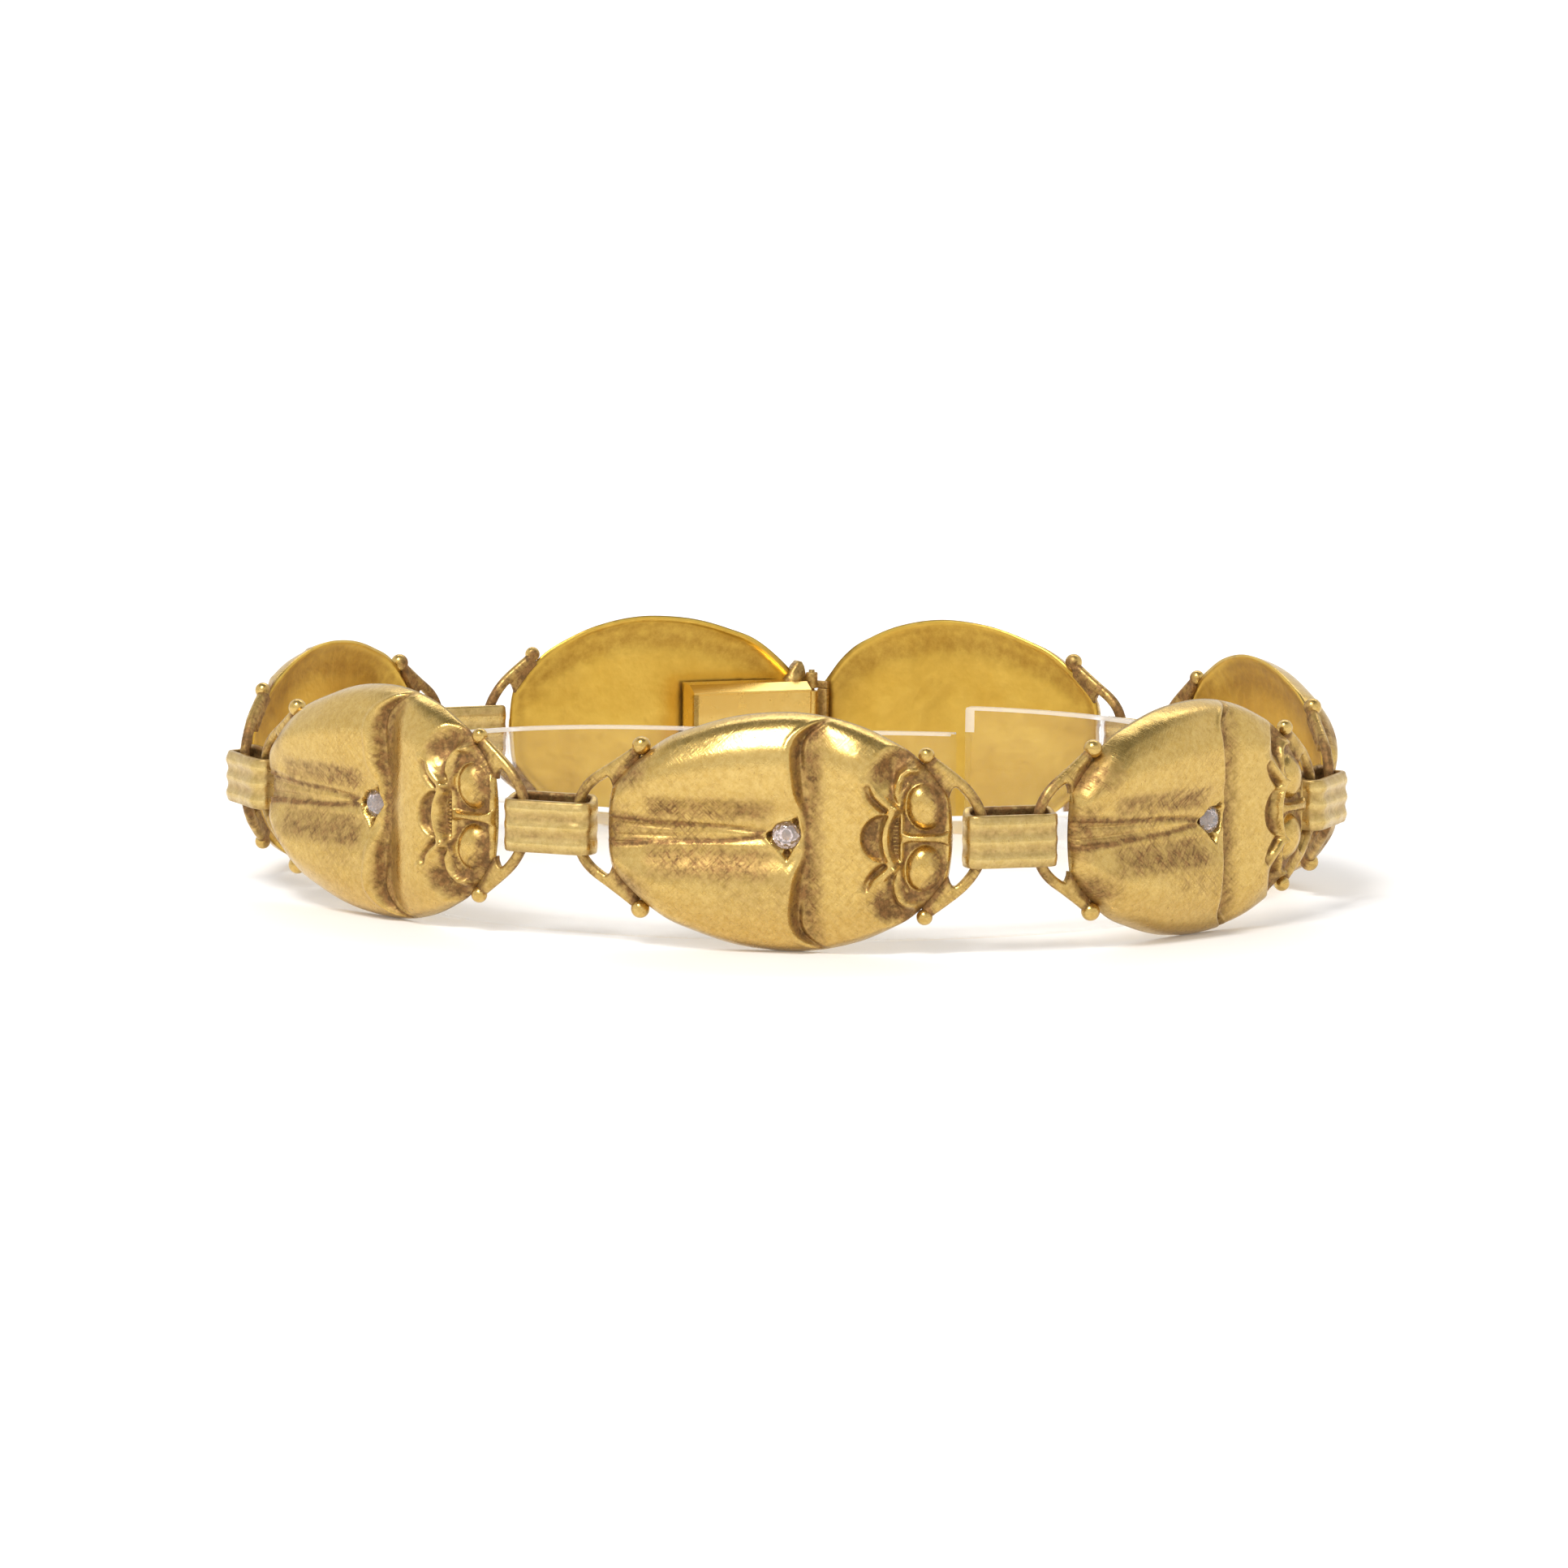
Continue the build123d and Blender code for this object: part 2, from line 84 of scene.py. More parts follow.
# Middle lines of the W-shaped lip, of the slit behind its arm, of the lid that curls beside each eye, of
# the thin ridge that edges both eyes, and of the hollow that narrows to the corner of the lip
W_LIP = [
    (4.75, 3.06), (5.1, 2.7), (5.45, 2.32), (5.88, 1.92), (6.3, 1.6), (6.1, 1.15), (5.92, 0.57),
    (5.86, 0.0),
]
SLIT = [(4.96, 2.66), (5.2, 2.15), (5.55, 1.78), (5.88, 1.5)]
LID = [(6.6, 1.75), (6.5, 2.3), (6.5, 2.9), (6.66, 3.38), (7.0, 3.64), (7.45, 3.66)]
LASH = [(6.74, 0.0), (6.74, 1.7), (6.84, 2.4), (7.06, 2.9)]
NARROW = [(6.25, 3.4), (6.3, 2.6), (6.42, 1.9)]
LIP_WIDTH = 0.27
SLIT_WIDTH = 0.19
LID_WIDTH = 0.23
LASH_WIDTH = 0.11
NARROW_WIDTH = 0.2
# Ovals: middle along and up, half the length and height, and lean ahead for each millimetre up
SCOOP = (5.92, 0.0, 1.38, 1.36, 0.0)
HOLLOW = (6.15, 3.8, 1.25, 1.3, 0.4)
EYE = (7.86, 1.66, 1.04, 1.3, -0.08)
# Height of an eye's foot, its fall towards the head's end, and the rise of its dome
EYE_FOOT = 0.3
EYE_FALL = 0.16
EYE_RISE = 0.86
# Height out and brown patina of the forms on the head
HEAD_FORMS = {
    "lip": (0.27, 0.0), "slit": (-0.32, 1.2), "scoop": (-0.4, 0.95), "hollow": (-0.45, 1.5),
    "narrow": (-0.12, 0.9), "lid": (0.42, 0.0), "lash": (0.22, 0.0), "rim": (0.12, 0.0),
    "strip": (0.0, 0.9), "corner": (0.0, 0.7), "side": (0.0, 0.8), "lid foot": (0.0, 0.7),
    "lash foot": (0.0, 0.5),
}
# Places along the T-shaped bar that parts the eyes, with half its width and its height
T_BAR_HALF = [(6.6, 0.6), (6.8, 0.5), (7.1, 0.3), (7.6, 0.25), (8.4, 0.25), (8.8, 0.32), (9.15, 0.62)]
T_BAR_CROWN = [(6.6, 1.12), (7.3, 1.18), (8.2, 1.1), (8.8, 0.85), (9.15, 0.52)]
# Corners of the stone's seat and its three small drilled holes, from the middle of the stone
SEAT_CORNERS = [(-1.2, 0.0), (0.12, -1.36), (0.86, 0.0), (0.66, 1.1)]
SEAT_HOLES = [(-0.84, 0.0), (0.55, 0.72), (0.06, -0.94)]
# Places along the link, half the width of the strip between the wings there, and its step out
SEAM_HALF = [
    (-9.15, 0.66), (-8.4, 0.62), (-6.9, 0.53), (-4.9, 0.42), (-2.5, 0.27), (-0.5, 0.06), (0.5, 0.02),
]
SEAM_STEP = [(-9.15, -0.22), (-7.6, -0.12), (-5.5, -0.02), (-3.0, 0.04), (-0.5, 0.04)]
# Places along the link and the height of the hollow behind the shell
INNER_CROWN = [(-9.15, 0.5), (-5.0, 0.68), (0.6, 0.62), (4.5, 0.66), (6.6, 0.3), (9.15, 0.1)]
# Places along the link and rows of vertices to the millimetre there, rows across, and the bow of the ends
GRID_DENSITY = [
    (-END, 30), (-8.9, 14), (-7, 7.5), (-0.8, 7.5), (-0.3, 20), (2.6, 17), (4.4, 14), (9.0, 18), (END, 30),
]
GRID_ACROSS = 167
END_BOW = 0.2


def ease(low, high, at):
    """Smooth step from 0 at low to 1 at high."""
    share = np.clip((at - low) / (high - low), 0, 1)
    return share * share * (3 - 2 * share)


def span(at, rise, full, ebb, end):
    """Smooth step from 0 at rise to 1 at full, and from 1 at ebb to 0 at end."""
    return ease(rise, full, at) * (1 - ease(ebb, end, at))


def bell(offset, width):
    """Rounded bump that is 1 in its middle."""
    return np.exp(-((offset / width) ** 2))


def through(rows, at):
    """Smooth line through rows of place and value, read at the places given."""
    places, values = np.array(rows, float).T
    slopes = np.gradient(values, places)
    left = np.clip(np.searchsorted(places, at, side="right") - 1, 0, len(places) - 2)
    run = places[left + 1] - places[left]
    share = np.clip((at - places[left]) / run, 0, 1)
    back = 1 - share
    ends = values[left] * back * back * (1 + 2 * share) + values[left + 1] * share * share * (3 - 2 * share)
    bends = slopes[left] * share * back * back - slopes[left + 1] * share * share * back
    return ends + run * bends


def beetle_form(along, up, half):
    """Height of the smooth form: wings, valley, thorax and head, with their rounded sides and ends."""
    share = np.clip(up / half, 0, 1)
    boxy = ease(4.9, 7.2, along)
    side = through(SHOULDER, share) * (1 - boxy) + (1 - share**8) ** 0.6 * boxy
    ends = np.ones_like(along)
    for distance in (along + END, END - along):
        ends *= np.sqrt(1 - (1 - np.clip(distance / 0.4, 0, 1)) ** 2)
    seam = through(WING_SEAM, along)
    trough = ease(-8.9, -6.5, along)
    wing = seam + (through(WING_CROWN, along) - seam) * (1 - bell(up, 1.6))
    wing += trough * (0.09 * bell(up - 0.62, 0.26) - 0.07 * bell(up - 1.4, 0.55))
    past_wing = along - through(WING_FRONT, up)
    past_thorax = along - through(THORAX_FRONT, up)
    step = ease(-0.2, 0.4, past_wing)
    form = wing * (1 - step) + through(THORAX, along) * step
    step = ease(0, 0.24 + 0.9 * ease(1.8, 2.6, up), past_thorax)
    form = form * (1 - step) + through(HEAD, along) * step
    return form * side * ends, side * ends, past_wing, past_thorax


def within(along, up, corners):
    """Distance inside the edges of a flat shape with corners in order, negative outside."""
    inside = np.full_like(along, 9.0)
    for (x0, y0), (x1, y1) in zip(corners, corners[1:] + corners[:1]):
        length = math.hypot(x1 - x0, y1 - y0)
        inside = np.minimum(inside, ((x1 - x0) * (up - y0) - (y1 - y0) * (along - x0)) / length)
    return inside


def from_line(along, up, points):
    """Distance from a line through points."""
    nearest = np.full_like(along, 9.0)
    for (x0, y0), (x1, y1) in zip(points, points[1:]):
        run = (x1 - x0) ** 2 + (y1 - y0) ** 2
        share = np.clip(((along - x0) * (x1 - x0) + (up - y0) * (y1 - y0)) / run, 0, 1)
        nearest = np.minimum(nearest, np.hypot(along - x0 - share * (x1 - x0), up - y0 - share * (y1 - y0)))
    return nearest


def stone_seat(along, up):
    """Depth of the bright-cut kite round the stone, with its drilled hole and the three smaller ones."""
    kite = within(along - STONE_ALONG, up, SEAT_CORNERS)
    depth = 0.12 * ease(-0.02, 0.1, kite) - 0.07 * bell(kite + 0.06, 0.06)
    hole = 1 - ease(0.68, 0.78, np.hypot(along - STONE_ALONG, up))
    small = np.zeros_like(along)
    for hole_along, hole_up in SEAT_HOLES:
        drill = np.hypot(along - STONE_ALONG - hole_along, up - hole_up)
        small = np.maximum(small, 1 - ease(0.1, 0.2, drill))
    return depth + 0.45 * np.maximum(hole, small), np.maximum(hole * 0.5, small)


def oval_reach(along, up, oval):
    """Share of the way from the middle of an oval to its edge."""
    middle_along, middle_up, half_along, half_up, lean = oval
    aside = up - middle_up
    return np.hypot((along - middle_along - lean * aside) / half_along, aside / half_up)


def head_relief(along, up, past_thorax):
    """Height and patina of the forms on the head."""
    lid_at = from_line(along, up, LID)
    lash_at = from_line(along, up, LASH)
    forms = {
        "lip": np.exp(-((from_line(along, up, W_LIP) / LIP_WIDTH) ** 4)) * (1 - ease(1.9, 3.5, up)),
        "slit": bell(from_line(along, up, SLIT), SLIT_WIDTH),
        # The scoop in the middle of the lip has a crisp edge and a flat floor, and the hollow a soft one
        "scoop": (1 - ease(0.8, 1.0, oval_reach(along, up, SCOOP))) * (1 - ease(-0.36, -0.2, past_thorax)),
        "hollow": 1 - ease(0.1, 1.0, oval_reach(along, up, HOLLOW)),
        "narrow": bell(from_line(along, up, NARROW), NARROW_WIDTH),
        "lid": bell(lid_at, LID_WIDTH),
        "lash": bell(lash_at, LASH_WIDTH),
        "rim": bell(along - 9.0, 0.14) * (1 - ease(1.9, 2.6, up)),
        # Soot was never polished out of the ribs' strip, beside the eyes, and along the lids and ridges
        "strip": span(along, 6.12, 6.22, 6.52, 6.62) * (1 - ease(0.95, 1.2, up)),
        "corner": span(along, 6.8, 6.95, 8.7, 9.0) * (1 - ease(2.9, 3.5, up)),
        "side": ease(6.6, 7.3, along) * ease(2.9, 3.5, up),
        "lid foot": bell(lid_at - 0.34, 0.12) * (1 - ease(3.2, 3.6, up)),
        "lash foot": bell(lash_at - 0.2, 0.07),
    }
    relief = sum(HEAD_FORMS[name][0] * form for name, form in forms.items())
    brown = sum(HEAD_FORMS[name][1] * form for name, form in forms.items())
    return relief, brown * (1 - 0.9 * forms["lip"]) * (1 - 0.8 * forms["lid"]) * (1 - 0.6 * forms["lash"])


def eye_form(along, up):
    """Height of the bulging eyes, their share of the way to the edge, and their patina with painted shade."""
    reach = oval_reach(along, up, EYE)
    dome = np.where(reach < 1, np.clip(1 - reach**2.5, 0, 1) ** 0.66, 1.2 * (1 - reach))
    # Painted shade, over a little patina, darkens each eye on the side towards the head's end and round the
    # foot of its dome
    brown = ease(0.2, 0.95, along - 7.8 + 0.3 * (up - 1.2)) * ease(0.35, 0.85, reach)
    height = EYE_FOOT - EYE_FALL * (along - EYE[0]) + EYE_RISE * dome
    return height, reach, brown + 0.25 * ease(0.9, 1.0, reach)


def blended(first, second, reach):
    """The higher of two heights, with a fillet of the reach where they meet."""
    share = np.clip(0.5 + 0.5 * (second - first) / reach, 0, 1)
    return first * (1 - share) + second * share + reach * share * (1 - share)


def seam_relief(along, up, lower):
    """Height and patina of the strip between the wings: step, creases, ridge and the pleats at the tail, with
    painted shade in the lower crease.
    """
    half = through(SEAM_HALF, along)
    fade = 1 - ease(-0.7, -0.2, along)
    inside = (1 - ease(half - 0.05, half + 0.05, up)) * fade
    pleat = 1 - ease(-7.6, -5.8, along)
    relief = inside * through(SEAM_STEP, along)
    relief -= 0.07 * bell(up - half - 0.04, 0.12) * fade * ease(-8.9, -7.2, along)
    relief += 0.05 * bell(up, 0.14) * fade * ease(-8.6, -6.4, along)
    relief -= 0.08 * bell(up - half * 0.5, 0.08) * (1 - ease(-6.4, -4.4, along))
    relief -= 0.07 * bell(up - half * 1.35, 0.1) * pleat
    # Patina lies in the creases beside the strip, and painted shade makes the lower crease darker and sets it
    # a little further down
    brown = (0.75 + 0.25 * lower) * bell(up - half - 0.04 - 0.05 * lower, 0.14) * fade
    brown += 0.35 * inside * (1 - ease(-6.0, -2.5, along)) + 0.25 * bell(up - half * 1.35, 0.12) * pleat
    return relief, brown + 0.9 * bell(up, 0.12) * ease(-1.6, -0.7, along) * fade


def wing_patina_and_shade(along, up, lower, past_wing):
    """Patina in the valley, on the two worn patches beside the seam and in the corners of the tail, with
    painted shade on the lower wing.
    """
    brown = 0.76 * ease(-0.1, 0.2, past_wing) * (1 - ease(1.6, 3.0, along - 0.15 * ease(4.2, 5.4, up)))
    brown += 0.1 * bell(past_wing - 0.1, 0.14) + 0.2 * bell(past_wing - 0.36, 0.14) * ease(3.2, 4.6, up)
    # The lower patch is wider and darker than the upper, partly as painted shade
    middle = np.where(lower, 1.6, 1.3)
    width = np.where(lower, 0.85, 0.6)
    depth = np.where(lower, 0.6, 0.5 + 0.12 * ease(-4.0, -1.5, along))
    brown += depth * np.exp(-(((up - middle) / width) ** 4)) * span(along, -7.4, -6.6, -0.9, 0.4)
    # Painted shade: a broad darker band across the lower wing
    brown += 0.16 * lower * bell(up - 3.0, 1.3) * ease(-5.0, -2.0, along) * (1 - ease(-0.6, 0.8, past_wing))
    brown += 0.35 * (1 - ease(-8.7, -7.7, along)) * (1 - ease(1.2, 1.8, up))
    return brown + 0.85 * (1 - ease(-8.4, -6.2, along)) * ease(1.6, 3.4, up)


def beetle_relief(along, signed_up, half):
    """Height of the chased outer face, and how much brown lies there: patina, and painted shade on the eyes,
    the T-bar and the lower side.
    """
    up = np.abs(signed_up)
    lower = signed_up < 0
    form, side, past_wing, past_thorax = beetle_form(along, up, half)
    seam, seam_brown = seam_relief(along, up, lower)
    head, head_brown = head_relief(along, up, past_thorax)
    # The wings' front edge is raised, and towards the sides a second fold lies inside the valley
    relief = seam + head + 0.06 * bell(past_wing + 0.34, 0.18) * ease(1.2, 2.4, up)
    relief += (0.12 * bell(past_wing - 0.66, 0.18) - 0.06 * bell(past_wing - 0.36, 0.12)) * ease(3.2, 4.6, up)
    height = form + relief * np.clip(side * 1.6, 0, 1)
    ball, reach, eye_patina_and_shade = eye_form(along, up)
    height = np.where(reach < 1.2, blended(height, ball, 0.06), height)
    bar_at = up / through(T_BAR_HALF, along)
    bar_shape = np.clip(1 - bar_at**4, 0, 1) ** 0.6 * ease(6.66, 6.8, along)
    height = np.maximum(height, through(T_BAR_CROWN, along) * bar_shape * np.clip(side * 1.4, 0, 1))
    cut, seat_brown = stone_seat(along, signed_up)
    brown = seam_brown + head_brown + wing_patina_and_shade(along, up, lower, past_wing)
    # A dark ring of patina and painted shade follows the crease just outside each eye, and a band of patina
    # lies near the head's end
    brown += 0.7 * bell(reach - 1.05, 0.07) + 0.55 * span(along, 8.3, 8.6, 8.8, 8.95)
    brown = np.where(reach < 0.98, eye_patina_and_shade, brown)
    # The T-bar carries a little patina, and painted shade darkens it along both edges
    brown = np.where(bar_shape > 0.4, 0.12 + 0.4 * ease(0.75, 1.0, bar_at), brown)
    brown = np.maximum(brown * (within(along - STONE_ALONG, signed_up, SEAT_CORNERS) < -0.1), seat_brown)
    return height - cut, np.clip(brown, 0, 1)


def inner_face(along, up, half):
    """Height of the smooth hollow behind the shell."""
    side = (1 - np.clip(up / half, 0, 1) ** 3.2) ** 0.65
    ends = (1 - np.clip(np.abs(along) / END, 0, 1) ** 7) ** 0.65
    return through(INNER_CROWN, along) * side * ends


def spaced(rows):
    """Places that lie as close as the rows of place and number to the millimetre say."""
    places, density = np.array(rows, float).T
    fine = np.linspace(places[0], places[-1], 4000)
    count = np.cumsum(np.interp(fine, places, density)) * (fine[1] - fine[0])
    count = (count - count[0]) / (count[-1] - count[0])
    total = int(np.sum((density[1:] + density[:-1]) / 2 * np.diff(places))) // 2 * 2
    return np.interp(np.linspace(0, 1, total + 1), count, fine)


def shell_grid(step, inset):
    """Grid of places over a link, drawn in from its outline by the inset, with slightly bowed ends."""
    along = spaced(GRID_DENSITY)
    share = np.linspace(-1, 1, GRID_ACROSS)
    across = 0.7 * share + 0.3 * np.sin(share * math.pi / 2)
    along, across = np.meshgrid(along[::step], across[::step], indexing="ij")
    half = through(OUTLINE, along)
    bow = np.sign(along) * END_BOW * (1 - across**2) * bell(END - np.abs(along), 0.5)
    return along, across * half, half, along * (1 - inset / END) + bow, across * (half - inset)


def grid_faces(rows, columns, first, flip):
    """Square faces of a grid of vertices, numbered from first."""
    index = np.arange(rows * columns).reshape(rows, columns) + first
    corners = [index[:-1, :-1], index[1:, :-1], index[1:, 1:], index[:-1, 1:]]
    faces = np.stack(corners, axis=-1).reshape(-1, 4)
    return (faces[:, ::-1] if flip else faces).tolist()


def grid_edge(rows, columns, first):
    """Numbers of the vertices round the edge of a grid, in order."""
    index = np.arange(rows * columns).reshape(rows, columns) + first
    return np.concatenate([index[:-1, 0], index[-1, :-1], index[:0:-1, -1], index[0, :0:-1]]).tolist()


def set_patina_and_shade(mesh, values):
    """Store how much brown lies at each vertex, from 0 to 1: patina, and in places painted shade."""
    mesh.attributes.new("patina", "FLOAT", "POINT").data.foreach_set("value", values)


def beetle_shell():
    """Mesh of one shell in millimetres: chased outer face, thin rim and smooth inner face."""
    along, up, half, out_along, out_up = shell_grid(1, 0)
    height, brown = beetle_relief(along, up, half)
    outer = np.stack([out_along, out_up, height], axis=-1)
    base_along, base_up, base_half, in_along, in_up = shell_grid(2, RIM_SHEET)
    hollow = inner_face(base_along, np.abs(base_up), base_half)
    inner = np.stack([in_along, in_up, hollow], axis=-1)
    points = np.concatenate([outer.reshape(-1, 3), inner.reshape(-1, 3)])
    split = along.size
    faces = grid_faces(*along.shape, 0, False) + grid_faces(*base_along.shape, split, True)
    ring_out = grid_edge(*along.shape, 0)
    ring_in = grid_edge(*base_along.shape, split)
    outside = (along.shape[0] - 1) * (along.shape[1] - 1)
    for k, here in enumerate(ring_in):
        after = ring_in[(k + 1) % len(ring_in)]
        first, middle, last = (ring_out[(2 * k + n) % len(ring_out)] for n in range(3))
        faces.append([here, middle, first])
        faces.append([here, after, last, middle])
    mesh = bpy.data.meshes.new("beetle_shell")
    mesh.from_pydata(points.tolist(), [], faces)
    mesh.polygons.foreach_set("use_smooth", [True] * len(faces))
    mesh.polygons.foreach_set("material_index", [0 if n < outside else 1 for n in range(len(faces))])
    # Inside, painted shade darkens the corner along the rim, the band near it a little, and more widely the
    # upper half above the middle
    from_rim = np.minimum(base_half - np.abs(base_up), END - np.abs(base_along))
    painted_inner_shade = 0.3 * bell(from_rim - 0.34, 0.24) + 0.1 * bell(from_rim, 2.5)
    painted_inner_shade += 0.58 * bell(from_rim - 1.2, 0.9) * ease(0.5, 3.5, base_up)
    set_patina_and_shade(mesh, np.concatenate([brown.ravel(), painted_inner_shade.ravel()]))
    return mesh


def stone_frame(stone):
    """Place of a link, read from its stone: X ahead, Y up, Z out through the table, on the rim's plane."""
    areas = {}
    for face in stone.data.polygons:
        facing = tuple(round(value, 4) for value in face.normal)
        areas[facing] = areas.get(facing, 0) + face.area
    out = Vector(max(areas, key=areas.get)).normalized()
    ahead = Vector((0, 0, 1)).cross(out)
    corners = [vertex.co for vertex in stone.data.vertices]
    spans = [[corner.dot(axis) for corner in corners] for axis in (ahead, out)]
    stone_along = (min(spans[0]) + max(spans[0])) / 2
    middle = (min(corner.z for corner in corners) + max(corner.z for corner in corners)) / 2
    origin = ahead * (stone_along - STONE_ALONG * MM) + out * (max(spans[1]) - (TABLE_OUT - RIM_OUT) * MM)
    origin.z = middle
    columns = [ahead * MM, Vector((0, 0, MM)), out * MM]
    return Matrix.Translation(origin) @ Matrix([list(row) for row in zip(*columns)]).to_4x4()


links = {}
for name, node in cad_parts.items():
    if name.startswith("diamond_"):
        links[name.removeprefix("diamond_")] = stone_frame(node)


def linear(colour):
    """Linear colour of an sRGB hex value, with an alpha of 1."""
    shares = [int(colour[n : n + 2], 16) / 255 for n in (1, 3, 5)]
    return [s / 12.92 if s <= 0.04045 else ((s + 0.055) / 1.055) ** 2.4 for s in shares] + [1.0]


def add_node(tree, kind, settings=None, **inputs):
    """New node with its settings, and its inputs as values or as sockets to link from."""
    node = tree.nodes.new(kind)
    for key, value in (settings or {}).items():
        setattr(node, key, value)
    for key, value in inputs.items():
        place = key.replace("_", " ")
        socket = node.inputs[int(key[1:])] if key[1:].isdigit() else node.inputs[place]
        if isinstance(value, bpy.types.NodeSocket):
            tree.links.new(value, socket)
        else:
            socket.default_value = value
    return node


def new_material(name, **inputs):
    """Material with its tree and its shader, whose inputs take the values given."""
    material = bpy.data.materials.new(name)
    material.use_nodes = True
    tree = material.node_tree
    shader = tree.nodes["Principled BSDF"]
    for key, value in inputs.items():
        shader.inputs[key.replace("_", " ")].default_value = value
    return material, tree, shader


def maths(tree, kind, first, second=0.0, clamp=False):
    """Number worked out from one or two others."""
    settings = {"operation": kind, "use_clamp": clamp}
    return add_node(tree, "ShaderNodeMath", settings, i0=first, i1=second).outputs[0]


def ranged(tree, value, low, high, to_low=0.0, to_high=1.0):
    """Value moved from one range to another, and held inside it."""
    ends = {"From_Min": low, "From_Max": high, "To_Min": to_low, "To_Max": to_high}
    return add_node(tree, "ShaderNodeMapRange", Value=value, **ends).outputs["Result"]


def noise(tree, size, detail, rough):
    """Noise over the object, in clouds of the size in millimetres."""
    place = add_node(tree, "ShaderNodeTexCoord").outputs["Object"]
    grain = {"Scale": 1 / (size * MM), "Detail": detail, "Roughness": rough}
    return add_node(tree, "ShaderNodeTexNoise", Vector=place, **grain).outputs["Fac"]


def mixed(tree, share, *ends):
    """Colour between two, which are sRGB hex values or sockets."""
    first, second = (linear(end) if isinstance(end, str) else end for end in ends)
    inputs = {"Factor": share, "i6": first, "i7": second}
    return add_node(tree, "ShaderNodeMix", {"data_type": "RGBA"}, **inputs).outputs[2]


# Side of the link's flat map, and length and width of a brush mark, in millimetres. The marks are drawn
# twice as wide as the real ones, so that they are seen from where the camera stands
MAP_SIDE = 20
STROKE = (1.1, 0.13)


def satin_gold(name, light, deep):
    """14 karat gold, brushed satin: a fine crossed grain, dark pits, brown patina in every hollow, and
    painted shade in a few places.
    """
    material, tree, shader = new_material(name)
    flat_map = add_node(tree, "ShaderNodeTexCoord").outputs["UV"]
    # The patina attribute also carries painted shade on the eyes, the T-bar's edges, the lower crease and the
    # lower wing
    patina = add_node(tree, "ShaderNodeAttribute", {"attribute_name": "patina"}).outputs["Fac"]
    # Clouds of 0.7 mm break up the patina's edge, and specks of 0.19 mm are pits in the struck sheet
    clouds = noise(tree, 0.7, 8.0, 0.75)
    wide = noise(tree, 5.0, 3.0, 0.5)
    fine = noise(tree, 0.32, 4.0, 0.75)
    specks = noise(tree, 0.19, 4.0, 0.8)
    lines = []
    for turn in (45, -45):
        flat = add_node(tree, "ShaderNodeMapping", {"vector_type": "TEXTURE"}, Vector=flat_map)
        flat.inputs["Rotation"].default_value = (0, 0, math.radians(turn))
        flat.inputs["Scale"].default_value = (STROKE[0] / MAP_SIDE, STROKE[1] / MAP_SIDE, 1)
        strokes = {"Vector": flat.outputs[0], "Scale": 1.0, "Detail": 2.0, "Roughness": 0.6}
        marks = add_node(tree, "ShaderNodeTexNoise", **strokes)
        lines.append(ranged(tree, marks.outputs["Fac"], 0.38, 0.58))
    hatch = maths(tree, "MINIMUM", *lines)
    # The lines show where patina is left in them, come and go with the clouds, and drown where it is thick
    worn = ranged(tree, wide, 0.4, 0.6, 0.3, 1.0)
    thin = ranged(tree, patina, 0.1, 0.8, 1.7, 0.3)
    broken = maths(tree, "MULTIPLY", maths(tree, "SUBTRACT", 0.5, hatch), maths(tree, "MULTIPLY", worn, thin))
    cloudy = ranged(tree, clouds, 0.36, 0.64, 0.45, 1.35)
    amount = maths(tree, "MULTIPLY", maths(tree, "ADD", patina, 0.13), cloudy)
    amount = maths(tree, "MULTIPLY", amount, maths(tree, "ADD", 1.0, broken), True)
    dark = maths(tree, "MAXIMUM", amount, ranged(tree, specks, 0.56, 0.7, 0.0, 0.6))
    tint = maths(tree, "MULTIPLY", ranged(tree, fine, 0.35, 0.65), 0.5)
    tone = mixed(tree, maths(tree, "ADD", maths(tree, "MULTIPLY", wide, 0.5), tint), light, deep)
    patina_and_shade_brown = mixed(tree, ranged(tree, fine, 0.4, 0.6), "#99703F", "#6F522C")
    tree.links.new(mixed(tree, dark, tone, patina_and_shade_brown), shader.inputs["Base Color"])
    tree.links.new(ranged(tree, dark, 0.0, 1.0, 0.19, 0.6), shader.inputs["Roughness"])
    # Patina is an oxide, so it is less of a metal than the gold below it
    tree.links.new(ranged(tree, dark, 0.0, 1.0, 1.0, 0.6), shader.inputs["Metallic"])
    rolls = noise(tree, 1.6, 2.0, 0.5)
    swell = add_node(tree, "ShaderNodeBump", Strength=1.0, Distance=0.04 * MM, Height=rolls)
    grain = maths(tree, "ADD", maths(tree, "MULTIPLY", hatch, 0.5), specks)
    bump = add_node(tree, "ShaderNodeBump", Strength=0.5, Distance=0.013 * MM, Height=grain)
    tree.links.new(swell.outputs["Normal"], bump.inputs["Normal"])
    tree.links.new(bump.outputs["Normal"], shader.inputs["Normal"])
    return material


def plain_gold():
    """14 karat gold as the die left it: smoother and deeper in colour, with soft stains and painted shade
    read from the patina attribute.
    """
    material, tree, shader = new_material("plain_14k_gold", Metallic=1.0, Roughness=0.34)
    clouds = noise(tree, 2.4, 4.0, 0.5)
    mottles = ranged(tree, noise(tree, 0.6, 8.0, 0.75), 0.35, 0.65, 0.55, 0.95)
    # On the inner faces the patina attribute holds painted shade
    painted_inner_shade = add_node(tree, "ShaderNodeAttribute", {"attribute_name": "patina"}).outputs["Fac"]
    share = maths(tree, "MULTIPLY", maths(tree, "ADD", painted_inner_shade, 0.12), mottles)
    gold = mixed(tree, clouds, "#F2D068", "#D8AF46")
    tree.links.new(mixed(tree, share, gold, "#8A5F24"), shader.inputs["Base Color"])
    swell = add_node(tree, "ShaderNodeBump", Strength=1.0, Distance=0.12 * MM, Height=clouds)
    tree.links.new(swell.outputs["Normal"], shader.inputs["Normal"])
    return material


